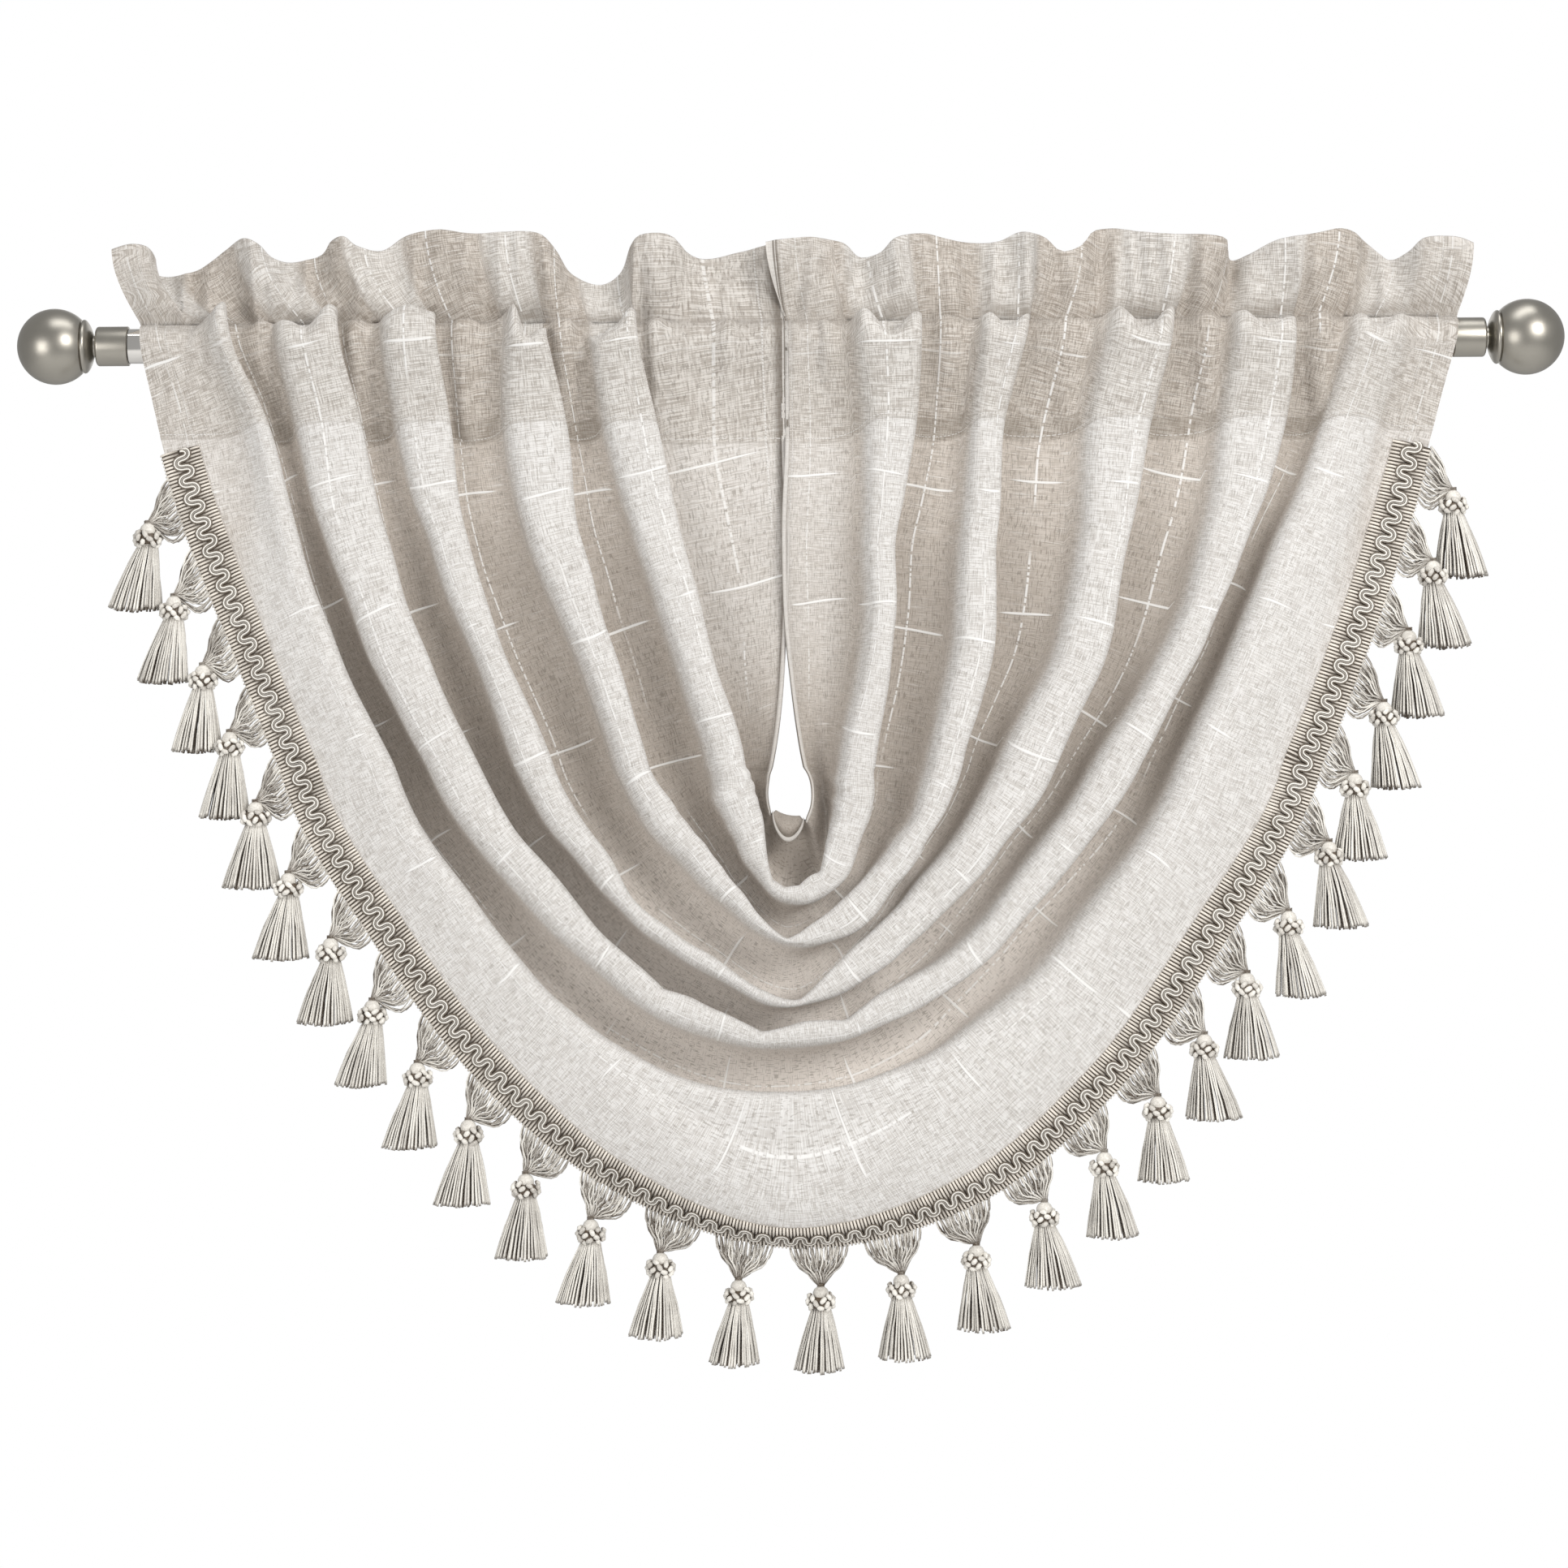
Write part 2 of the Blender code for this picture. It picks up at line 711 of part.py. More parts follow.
def make_finial(name, inner_x, toward, metal):
    """Neck, cap ring, groove and ball in one turned piece."""
    ball = BALL_DIAMETER / 2.0
    cap = CAP_DIAMETER / 2.0
    neck = NECK_DIAMETER / 2.0
    start = inner_x + toward * (COLLAR_LENGTH + TOUCH_GAP)
    cap_start = start + toward * NECK_LENGTH
    cap_end = cap_start + toward * CAP_LENGTH
    ball_start = cap_end + toward * GROOVE_WIDTH
    chord = math.sqrt(ball * ball - cap * cap)
    centre = ball_start + toward * chord
    profile = [
        (start, 0.0),
        (start, neck),
        (cap_start, neck),
        (lerp(cap_start, cap_end, 0.35), lerp(neck, cap, 0.55)),
        (cap_end, cap),
        (cap_end, cap - 2.0),
        (ball_start, cap - 2.0),
    ]
    steps = 9
    first = math.asin(cap / ball)
    for step in range(steps + 1):
        angle = lerp(math.pi - first, 0.0, step / steps)
        radius = ball * math.sin(angle)
        profile.append((centre + toward * ball * math.cos(angle), radius if step < steps else 0.0))
    return turned(name, profile, 20, metal)


def main():
    clear_scene()
    finishes = {name: material(name) for name in COLOURS}
    make_rod(finishes["rod"])
    for side, inner_x, toward in (
        ("left", COLLAR_LEFT_X, -1.0),
        ("right", COLLAR_RIGHT_X, 1.0),
    ):
        make_collar("collar_" + side, inner_x, toward, finishes["finial"])
        make_finial("finial_" + side, inner_x, toward, finishes["finial"])
    make_cloth(finishes["linen"])
    make_braid(finishes["braid"])
    path = edge_path()
    total = path_length(path)
    for index in range(TASSEL_COUNT):
        make_tassel(index, path, total, finishes["tassel"])


main()
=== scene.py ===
# %% [markdown]
# # Swag valance on a curtain rod
# A swag valance is one band of thin cloth.  Both of its ends are gathered on
# a rod and the middle hangs down in nested folds.  Here the cloth is a fine
# mesh laid over the measured shape, its trim is real yarn geometry, and the
# rod and its ball ends are turned pieces.
# The frame loaded first is the plain model whose size and place we must keep.

import math

import bmesh
import bpy
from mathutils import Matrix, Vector, noise


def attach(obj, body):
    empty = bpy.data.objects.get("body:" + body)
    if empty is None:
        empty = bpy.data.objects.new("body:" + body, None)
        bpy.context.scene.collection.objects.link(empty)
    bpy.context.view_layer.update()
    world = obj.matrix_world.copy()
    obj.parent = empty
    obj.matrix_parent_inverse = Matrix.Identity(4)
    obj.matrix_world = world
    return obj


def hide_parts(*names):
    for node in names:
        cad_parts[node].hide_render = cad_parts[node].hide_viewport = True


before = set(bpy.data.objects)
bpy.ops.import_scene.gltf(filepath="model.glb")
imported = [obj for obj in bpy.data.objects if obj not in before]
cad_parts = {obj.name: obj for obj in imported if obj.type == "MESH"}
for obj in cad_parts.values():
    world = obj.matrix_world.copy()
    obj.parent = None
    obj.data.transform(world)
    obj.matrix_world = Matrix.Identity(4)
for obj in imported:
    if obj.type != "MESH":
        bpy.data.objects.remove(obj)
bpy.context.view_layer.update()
MM = 0.001


# %% [markdown]
# Small helpers come first: blends between two numbers, and a smooth curve
# through a list.  Everything is laid out in millimetres and turned into
# metres only when a mesh is made, because the sizes are easier to read so.

# %% Blends and curves
def lerp(low, high, part):
    return low + (high - low) * part


def clamp(value, low=0.0, high=1.0):
    return max(low, min(high, value))


def smooth(value):
    value = clamp(value)
    return value * value * (3.0 - 2.0 * value)


def through(values, at):
    """Catmull-Rom curve through a list; `at` counts its entries from 0."""
    last = len(values) - 1
    at = clamp(at, 0.0, float(last))
    index = min(int(at), last - 1)
    part = at - index
    before, start = values[max(index - 1, 0)], values[index]
    end, after = values[index + 1], values[min(index + 2, last)]
    square, cube = part * part, part * part * part
    return (
        (2 * cube - 3 * square + 1) * start
        + (cube - 2 * square + part) * (end - before) / 2.0
        + (3 * square - 2 * cube) * end
        + (cube - square) * (after - start) / 2.0
    )


def soften(points, steps):
    """B-spline along a list of tuples: rounder than the corners it is given."""
    first = tuple(2 * a - b for a, b in zip(points[0], points[1]))
    last = tuple(2 * a - b for a, b in zip(points[-1], points[-2]))
    padded = [first] + points + [last]
    made = []
    for four in zip(padded, padded[1:], padded[2:], padded[3:]):
        for step in range(steps):
            t = step / steps
            weights = (
                (1 - t) ** 3 / 6.0,
                (3 * t ** 3 - 6 * t * t + 4) / 6.0,
                (-3 * t ** 3 + 3 * t * t + 3 * t + 1) / 6.0,
                t ** 3 / 6.0,
            )
            made.append(tuple(
                sum(weight * value for weight, value in zip(weights, values))
                for values in zip(*four)
            ))
    return made + [tuple(points[-1])]


def wander(x, y, z, size):
    """Smooth random number from -1 to 1 that changes over `size` millimetres."""
    return noise.noise(Vector((x / size, y / size, z / size)))


print("smooth halfway:", smooth(0.5), " curve halfway:", through([0, 1, 0], 0.5))


# %% [markdown]
# The swag could be simulated, but then the folds fall where they like.  We
# lay it out instead, the way a draper pins cloth on a board.
# Seventeen lines are drawn across the cloth, from the slit to the outer edge.
# Each starts `drop` below the rod and points `turn` degrees round from
# straight left.  On it we note how far the braided edge curls back to the
# wall, the outer edge, where each fold's lit band begins and ends, and the
# slit's hem.  Fold 1 is the outermost.

# %% Where the folds lie
COLUMNS = (
    "drop", "turn", "curl", "edge", "in1", "out2", "in2", "out3", "in3",
    "out4", "in4", "out5", "in5", "hem",
)
STATIONS = (
    (-16, 0.0, 0, 514, 444, 404, 355, 319, 277, 218, 189, 153, 118, 1),
    (80, 0.0, 0, 498, 408, 388, 335, 308, 264, 221, 172, 143, 100, 1),
    (160, 0.0, 0, 473, 383, 365, 314, 283, 251, 202, 160, 117, 79, -2),
    (250, 0.0, 0, 437, 351, 331, 283, 248, 220, 166, 134, 89, 57, 2),
    (340, 0.0, 0, 401, 309, 285, 242, 215, 183, 135, 109, 62, 30, 11.5),
    (340, 22.5, 3, 355, 268, 240, 204, 184, 159, 120, 91, 62, 29, 14),
    (340, 45.0, 8, 348, 258, 222, 195, 174, 159, 114, 89, 66, 32, 20),
    (340, 67.5, 20, 363, 258, 224, 198, 176, 161, 121, 102, 84, 47, 35),
    (340, 90.0, 26, 382, 257, 223, 202, 191, 179, 142, 130, 108, 91, 59),
    (340, 112.5, 18, 378, 253, 219, 193, 180, 149, 143, 112, 105, 71, 42),
    (340, 135.0, 9, 366, 252, 221, 196, 171, 138, 129, 105, 84, 52, 27),
    (340, 157.5, 3, 373, 266, 234, 203, 183, 146, 128, 106, 75, 43, 18),
    (340, 180.0, 0, 424, 309, 282, 243, 216, 167, 141, 113, 72, 42, 12.8),
    (250, 180.0, 0, 461, 352, 330, 300, 256, 213, 165, 133, 86, 62, 1),
    (160, 180.0, 0, 493, 391, 368, 332, 274, 236, 170, 141, 90, 65, -2),
    (80, 180.0, 0, 517, 428, 400, 349, 293, 243, 176, 150, 106, 66, 1),
    (-16, 180.0, 0, 538, 456, 408, 360, 313, 262, 198, 159, 111, 58, 1),
)
LEFT_SEAM, BOTTOM, RIGHT_SEAM = 1, 8, 15
WAVER = 2.4

# A fold's upper boundary dips to a sharp point where its two halves meet.
CUSPS = (
    # boundary, turn, how far it dips, half width in degrees
    ("in5", 89.0, 3.0, 5.0),
    ("in5", 82.5, 10.0, 9.0),
    ("in5", 96.0, 4.0, 9.0),
    ("in5", 107.0, 9.0, 10.0),
    ("in4", 89.5, 7.0, 9.0),
    ("in3", 92.5, 7.0, 8.0),
    ("in2", 84.5, 9.0, 9.0),
    ("in2", 102.5, 10.0, 9.0),
    ("in2", 61.0, 5.0, 7.0),
)


def on_line(column, at):
    index = COLUMNS.index(column)
    values = [row[index] for row in STATIONS]
    if column in ("drop", "turn"):
        low = min(int(at), len(values) - 2)
        return lerp(values[low], values[low + 1], at - low)
    if column == "hem":
        # Where the lines start to fan out, the hem must not turn sharply.
        if 4 <= at <= 12:
            values[3], values[13] = 12.2, 14.7
        else:
            values[5], values[11] = 38.0, 37.0
    value = through(values, at)
    if column[:2] in ("in", "ou"):
        loose = smooth(sag(at) * 4.0)
        value += WAVER * wander(95.0 * at, 60.0 * index, 8.0, 52.0) * loose
    turn = on_line("turn", at)
    for name, centre, dip, reach in CUSPS:
        if name == column:
            near = clamp(1.0 - abs(turn - centre) / reach)
            value += dip * near ** 1.4
    return value


def sag(at):
    """0 where the cloth leaves the heading, 1 at the bottom of the swag."""
    return math.sin(math.pi * clamp((at - LEFT_SEAM) / (RIGHT_SEAM - LEFT_SEAM)))


def place(at, distance, depth, lift=0.0):
    """Point in millimetres for a distance and depth on a line across the cloth."""
    turn = math.radians(on_line("turn", at))
    return Vector((
        -distance * math.cos(turn),
        -depth,
        lift - on_line("drop", at) - distance * math.sin(turn),
    ))


print("the swag's lowest point:", place(BOTTOM, on_line("edge", BOTTOM), 0.0))


# %% [markdown]
# Cut across, each fold is a band that stands toward the room with a valley
# on either side.  All the folds lean to the right.  So one boundary is keen:
# the cloth rolls over it and runs back underneath.  The other is mild: the
# cloth slides down into the valley.  Left of the slit the inner boundary is
# the keen one, right of it the outer one.

# %% The cut across the folds
FOLDS = (1, 2, 3, 4, 5)
# Each of these pairs is a size by the rod and at the bottom of the swag.
LEAST_OVERHANG, OVERHANG = 6.0, 12.0
CREST_REACH = (31.0, 46.0)
VALLEY_REACH = (3.0, -9.0)
EDGE_REACH = (12.0, 38.0)
FOLD_STEP = 3.5
BRAID_SHOWN = 30.0
MOST_CURL = 27.0
OUTER_PANEL = (
    # share of the way from the edge to fold 1's inner boundary, rise
    (0.0, 0.0), (0.14, 0.04), (0.34, 0.30), (0.58, 0.72), (0.80, 0.97),
)
OUTER_STRIP_LEFT = ((0.0, 0.0), (0.22, 0.02), (0.46, 0.0), (0.68, 0.12), (0.84, 0.92))
OUTER_STRIP_RIGHT = ((0.0, 0.0), (0.24, 0.05), (0.42, 0.0), (0.52, 0.74), (0.78, 1.0))
CURLED_STRIP = (
    # widths of the braid from the edge, share of the curl toward the wall
    (0.0, 1.0), (0.55, 0.42), (1.0, 0.06), (1.9, 0.0), (2.8, 0.0),
)
FLAP_TOP, FLAP_SLANT, MOST_FLAP = 34.5, 0.25, 40.0
LAST = len(STATIONS) - 1
SLIT_SIDE = (
    # share of the way to the hem where it lies flat, then where it is turned
    # over: share of the way up to the fold line, how far on it comes down
    # again, share of the hem's depth
    (0.25, 0.40, 0.0, 0.06),
    (0.50, 0.80, 0.0, 0.24),
    (0.72, 1.00, 0.0, 0.52),
    (0.90, 1.00, 0.5, 0.90),
    (1.00, 1.00, 1.0, 1.00),
)


def crest_depth(at, fold):
    """How far a fold stands out; low down each covers the one inside it."""
    return lerp(*CREST_REACH, smooth(sag(at) * 1.6)) + (3 - fold) * FOLD_STEP * sag(at)


def valley_depth(at):
    return lerp(*VALLEY_REACH, smooth(sag(at) * 1.3))


def keenness(at):
    """How keen the inner and the outer boundaries are on this line."""
    turn = on_line("turn", at)
    inner = 1.0 - smooth((turn - 100.0) / 45.0)
    outer = smooth((turn - 84.0) / 40.0)
    return inner, outer


def boundary(position, away, keen, width, gap, tuck, floor):
    """Four points over one boundary of a fold, from the crest to the valley.

    Each is (distance, rise), with the rise 1 on the crest and 0 in the valley.
    """
    rolled = ((-0.14 * width, 1.0), (0.0, 0.90), (-0.25 * tuck, 0.42), (-tuck, floor))
    sloped = ((-0.15 * width, 0.97), (0.0, 0.74), (0.13 * gap, 0.28), (0.42 * gap, floor))
    return [
        (position + away * lerp(b, a, keen), lerp(q, r, keen))
        for (a, r), (b, q) in zip(rolled, sloped)
    ]


def outer_panel(at, edge, inner, low):
    """Fold 1 from its braided edge, which curls to the wall low on the swag."""
    high = crest_depth(at, 1)
    curl = clamp(on_line("curl", at), 0.0, MOST_CURL)
    braided = math.sqrt(BRAID_SHOWN ** 2 - curl ** 2) / (edge - inner)
    edge_depth = lerp(*EDGE_REACH, sag(at))
    spread = smooth(sag(at) * 2.2)
    upright = OUTER_STRIP_RIGHT if at > BOTTOM else OUTER_STRIP_LEFT
    points = []
    for strip, panel, (widths, back) in zip(upright, OUTER_PANEL, CURLED_STRIP):
        share = lerp(strip[0], panel[0], spread)
        share = lerp(share, widths * braided, curl / MOST_CURL * 0.9)
        depth = lerp(edge_depth, high, lerp(strip[1], panel[1], spread)) - curl * back
        points.append((lerp(edge, inner, share), depth, (depth - low) / (high - low)))
    return points


def slit_side(at, start, hem, low):
    """From the innermost valley to the slit's hem.

    At the bottom of the slit the cloth climbs up behind it first, up to a
    slanting fold line, and turns over with its hem hanging in front.  The
    turned part is marked with a rise below 0, which the linen uses to paint
    it darker as shade.
    """
    turn = math.radians(on_line("turn", at))
    slant = math.sin(turn) + FLAP_SLANT * math.cos(turn)
    above = hem - FLAP_TOP / slant if slant > 0.5 and at not in (0, LAST) else 0.0
    above = clamp(above, 0.0, MOST_FLAP)
    roll = smooth(above / 12.0)
    side = -1.0 if at < BOTTOM else 1.0
    hem_depth = 7.5 + 3.0 * side * (1.0 - sag(at)) + 15.0 * smooth((sag(at) - 0.72) / 0.24)
    made = []
    for share, up, down, forward in SLIT_SIDE:
        over = lerp(lerp(start, hem - above, up), hem, down)
        distance = lerp(lerp(start, hem, share), over, roll)
        depth = lerp(low, hem_depth, lerp(share * share, forward, roll))
        made.append((distance, depth, -roll))
    return made


def cut_across(at):
    """Control points (distance, depth, rise) from the outer edge to the hem."""
    low = valley_depth(at)
    overhang = lerp(LEAST_OVERHANG, OVERHANG, smooth(sag(at) * 2.5))
    keen_in, keen_out = keenness(at)
    inners = [on_line("in%d" % fold, at) for fold in FOLDS]
    outers = [on_line("edge", at)] + [on_line("out%d" % fold, at) for fold in FOLDS[1:]]
    outers.append(on_line("hem", at))
    points = []

    def add(fold, pairs):
        high = crest_depth(at, fold)
        points.extend((distance, lerp(low, high, rise), rise) for distance, rise in pairs)

    def side_of(position, away, keen, width, gap):
        gap = max(gap, 2.0)
        tuck, floor = min(overhang, 0.6 * width), 0.40 * (1.0 - smooth(gap / 20.0))
        return boundary(position, away, keen, width, gap, tuck, floor)

    for fold, outer, inner, next_out in zip(FOLDS, outers, inners, outers[1:]):
        if fold == 1:
            points.extend(outer_panel(at, outer, inner, low))
            width = min(outer - inner, 60.0)
        else:
            width = max(outer - inner, 5.0)
            gap = inners[fold - 2] - outer
            add(fold, reversed(side_of(outer, 1.0, keen_out, width, gap)))
            add(fold, [(lerp(inner, outer, 0.5), 1.02)])
        add(fold, side_of(inner, -1.0, keen_in, width, inner - next_out))
    return points + slit_side(at, points[-1][0], outers[-1], low)


def rolled_hem(line):
    """Curl the end of a cut line into a narrow roll that ends on itself."""
    (far, far_depth, _), (near, near_depth, rise) = line[-3], line[-1]
    run = math.hypot(near - far, near_depth - far_depth)
    ahead = ((near - far) / run, (near_depth - far_depth) / run)
    front = (ahead[1], -ahead[0]) if ahead[0] < 0 else (-ahead[1], ahead[0])
    curl = []
    for step in range(1, HEM_STEPS + 1):
        angle = HEM_TURN * step / HEM_STEPS
        forth = HEM_ROLL * math.sin(angle)
        out = HEM_ROLL * (1.0 - math.cos(angle))
        curl.append((
            near + ahead[0] * forth + front[0] * out,
            near_depth + ahead[1] * forth + front[1] * out,
            rise,
        ))
    return line + curl


ACROSS_STEPS = 5
HEM_STEPS = 6
HEM_ROLL, HEM_TURN = 1.9, math.radians(300.0)


def fine_cut(at):
    """The cut as the mesh uses it: softened, with its slit edge rolled."""
    return rolled_hem(soften(cut_across(at), ACROSS_STEPS))


print("points across the cloth:", len(fine_cut(8.0)))


# %% [markdown]
# The heading is the gathered part on the rod.  It is one cloth turned over
# at the top, stitched above the rod and again below it, so that the rod runs
# in a pocket.  Above the upper stitching the double cloth stands up as a
# ruffle.  Its top edge is laid out point by point, since no two waves agree.

# %% The heading's measurements
RUFFLE_LEFT = (
    # distance from the slit, depth before the rod, height above the rod
    (535, 16, 75), (520, 19, 79), (507, 14, 77), (502, 3, 68), (506, -8, 60),
    (494, -14, 57), (468, -12, 63), (447, -3, 76), (432, 9, 84), (419, 8, 79),
    (410, -3, 70), (396, -10, 67), (372, -8, 72), (362, 3, 82), (351, 12, 85),
    (341, 6, 78), (322, -5, 75), (302, -4, 87), (276, 4, 91), (250, 9, 87),
    (222, 9, 88), (196, 14, 86), (182, 8, 74), (170, -5, 56), (148, -12, 48),
    (131, -8, 57), (122, 5, 77), (112, 11, 85), (90, 9, 84), (76, -1, 71),
    (62, -8, 67), (36, -7, 72), (16, 1, 76), (0, 3, 79),
)
RUFFLE_RIGHT = (
    (550, 15, 73), (535, 17, 78), (512, 14, 78), (500, 4, 68), (486, -8, 63),
    (470, -6, 75), (450, 6, 86), (424, 10, 82), (396, 5, 78), (374, -8, 68),
    (360, -12, 64), (356, 0, 72), (352, 12, 79), (330, 13, 82), (307, 8, 83),
    (284, -1, 86), (266, -6, 89), (249, -5, 87), (238, 4, 74), (222, 10, 69),
    (209, 9, 80), (190, 0, 86), (170, -7, 79), (140, -5, 80), (113, 4, 85),
    (90, 9, 81), (77, 0, 70), (61, -8, 68), (48, 0, 78), (22, 8, 82),
    (2, 14, 80), (-14, 17, 77),
)
POCKET = (
    # share from stitching (0) to seam (1), then height and depth in a valley,
    # height and depth on a crest, and depth of the layer behind the rod
    (0.00, 16.5, 2.0, 15.5, 4.0, 1.0),
    (0.03, 14.5, 8.0, 22.5, 8.0, 8.0),
    (0.07, 10.5, 13.5, 28.0, 19.0, 12.5),
    (0.12, 5.0, 16.0, 25.0, 31.0, 15.5),
    (0.19, -3.0, 16.5, 14.0, 39.0, 17.0),
    (0.30, -12.0, 15.0, -1.0, 42.0, 16.5),
    (0.46, -26.0, 11.0, -17.0, 38.0, 12.0),
    (0.64, -43.0, 7.0, -32.0, 35.5, 5.0),
    (0.82, -62.0, 4.5, -47.0, 33.0, -0.5),
    (1.00, -80.0, 3.0, -63.0, 31.0, -3.5),
)
EARS_LEFT = (
    # distance from the slit, height of the pocket's rim above the rod
    (475, 12), (458, 25), (444, 34), (400, 17), (381, 10), (360, 30), (316, 22), (298, 28),
    (281, 22), (216, 31), (204, 2), (192, 9), (150, -2), (136, 8), (121, 25), (80, 14),
)
EARS_RIGHT = (
    (515, 16), (493, 16), (474, 5), (456, 18), (402, 13), (383, 6), (365, 18), (310, 23),
    (287, 5), (265, 25), (195, 18), (178, 7), (163, 19), (106, 19), (84, 4), (62, 24), (40, 12),
)
SMALL_FOLDS_LEFT = (
    # centre at the stitching and at the ruffle's top, half width, how far
    # down the pocket it reaches, how far it stands out
    (415, 430, 9, 0.55, 9), (342, 353, 15, 1.0, 9), (254, 256, 13, 1.0, 10),
    (176, 182, 12, 0.9, 10), (101, 105, 11, 1.0, 9), (45, 48, 9, 0.5, 6),
)
SMALL_FOLDS_RIGHT = (
    (133, 140, 13, 0.6, 9), (225, 232, 17, 1.0, 6), (337, 333, 13, 0.85, 10),
    (428, 422, 13, 0.9, 10), (35, 30, 9, 0.5, 6),
)
STITCH_HEIGHT = 16.5
ROD_CLEAR = 17.4
SEAM_LIFT = 17.0
LAYER_GAP = 1.3


def along_curve(table, shares):
    """Points of a laid-out edge, spaced by the cloth's own length."""
    steps = 8
    fine = [
        Vector([through([row[i] for row in table], index / steps) for i in range(3)])
        for index in range((len(table) - 1) * steps + 1)
    ]
    lengths = [0.0]
    for start, end in zip(fine, fine[1:]):
        lengths.append(lengths[-1] + math.hypot(end.x - start.x, end.y - start.y))
    found, spot = [], 0
    for share in shares:
        goal = share * lengths[-1]
        while spot < len(fine) - 2 and lengths[spot + 1] < goal:
            spot += 1
        part = (goal - lengths[spot]) / max(lengths[spot + 1] - lengths[spot], 1e-6)
        found.append(fine[spot].lerp(fine[spot + 1], clamp(part)))
    return found


print("ruffle points:", len(RUFFLE_LEFT), "left,", len(RUFFLE_RIGHT), "right")


# %% [markdown]
# Now the rows of the whole sheet, in one run: up the back of the left
# heading, over its top, down its front, round the swag, and the same again
# on the right.  A little random wander keeps the folds from looking drawn
# with a ruler.

# %% Rows of the sheet
SWAG_ROWS = 216
POCKET_ROWS = 27
RUFFLE_ROWS = 16
HEADING_CRUMPLE = 0.8
EAR_HEIGHT, EAR_LEVEL = 14.0, 26.0
GROOVE_DEPTH, GROOVE_HALF = 3.2, 9.0


def crumple(point, strength):
    """Small dents that are never the same twice."""
    x, y, z = point
    push = 1.3 * wander(x, y * 0.5, z, 46.0) + 0.5 * wander(x + 300, y, z, 17.0)
    return Vector((
        x + 0.8 * strength * wander(x, z, 400.0, 60.0),
        y + strength * push,
        z + 0.8 * strength * wander(z, x, 900.0, 60.0),
    ))


def edge_calm(column):
    """The braid holds the cloth flat under it."""
    return lerp(0.5, 1.0, smooth((column - 8) / 10.0))


def swag_row(at):
    """One line of points across the swag, with its rises."""
    turn = on_line("turn", at)
    from_seam = min(at - LEFT_SEAM, RIGHT_SEAM - at)
    lifted = SEAM_LIFT * (1.0 - smooth(from_seam / 0.7))
    # A long soft groove runs through the outer fold's front.
    groove_at = 301.0 - (1.2 if turn < 90.0 else 2.0) * abs(turn - 90.0)
    shown = smooth((36.0 - abs(turn - 90.0)) / 20.0) * sag(at)
    line, rises = [], []
    for column, (distance, depth, rise) in enumerate(fine_cut(at)):
        groove = math.exp(-((distance - groove_at) / GROOVE_HALF) ** 2)
        groove *= GROOVE_DEPTH * shown
        spot = place(at, distance, depth - groove, lifted * clamp(rise))
        line.append(crumple(spot, edge_calm(column)))
        rises.append(rise)
    return line, rises


def ridge(x, y, size):
    """Noise with soft valleys and crisp ridges, from -1 to 1."""
    return 1.0 - 3.2 * abs(wander(x, y, 17.0, size))


def ear_height(distance, sign):
    """How high the pocket's rim stands at a distance from the slit."""
    table = EARS_RIGHT if sign > 0 else EARS_LEFT
    for (far, high), (near, low) in zip(table, table[1:]):
        if near <= distance <= far:
            return lerp(low, high, smooth((distance - near) / (far - near)))
    return EAR_HEIGHT


def small_fold(distance, sign, part_up, share):
    """How far a small fold between two large ones stands out here.

    `part_up` goes from 0 at the stitching to 1 on the ruffle's top edge, and
    `share` from 0 at the stitching to 1 at the pocket's seam.
    """
    out = 0.0
    for low, high, half, reach, stand in SMALL_FOLDS_RIGHT if sign > 0 else SMALL_FOLDS_LEFT:
        across = abs(distance - lerp(low, high, part_up)) / (half * (1.0 - 0.45 * share))
        out += stand * smooth(1.25 - across) * smooth((reach - share) / 0.35 + 0.35)
    return out


def pocket_spot(entry, distance, rise, sign):
    """Height and depth of one point of the pocket, with its gathers."""
    share, low_height, low_depth, high_height, high_depth, _ = entry
    ear = smooth(share / 0.05) * smooth((0.38 - share) / 0.32)
    small = small_fold(distance, sign, 0.0, share) * (1.0 - rise)
    height = lerp(low_height, high_height, rise)
    height += ear * rise * (ear_height(distance, sign) - EAR_LEVEL)
    height += ear * 2.5 * wander(distance, 31.0 * sign, 5.0, 16.0)
    height += 0.55 * ear * small
    gather = ridge(distance, 40.0 * sign + 0.02 * height, 17.0) * (1.0 - 0.75 * rise)
    depth = lerp(low_depth, high_depth, rise) + small
    depth += 3.6 * gather * (1.0 - share) ** 1.6
    depth += 1.5 * wander(distance, 50.0 * sign, 0.0, 7.0) * (1.0 - share) ** 5
    if abs(height) < ROD_CLEAR:
        depth = max(depth, math.sqrt(ROD_CLEAR ** 2 - height ** 2))
    return height, depth


def ruffle_row(stitch, crown, part, sign):
    """A row of the ruffle, from the stitching (part 0) to its top edge (1)."""
    low = 1.0 - part
    spread = smooth(1.0 - low ** 1.5)
    row = []
    for (distance, _, rise), top in zip(stitch, crown):
        rise = clamp(rise)
        across = lerp(distance, top.x, 1.0 - low ** 1.7)
        sway = across + 7.0 * wander(across, 5.0 * sign, part * 60.0, 70.0)
        swell = math.sin(math.pi * clamp(0.12 + 0.74 * low))
        depth = lerp(2.0 + 2.0 * rise, 1.15 * top.y, spread)
        depth += 6.2 * ridge(sway, 90.0 * sign, 23.0) * swell
        depth += 2.4 * wander(distance, 50.0 * sign, 0.0, 9.0) * low * low
        small = small_fold(across, sign, part, 0.0) * (1.0 - rise)
        depth += 0.7 * small * smooth(low * 2.0)
        spot = Vector((sign * across, -depth, lerp(STITCH_HEIGHT, top.z, part)))
        row.append(crumple(spot, HEADING_CRUMPLE))
    return row


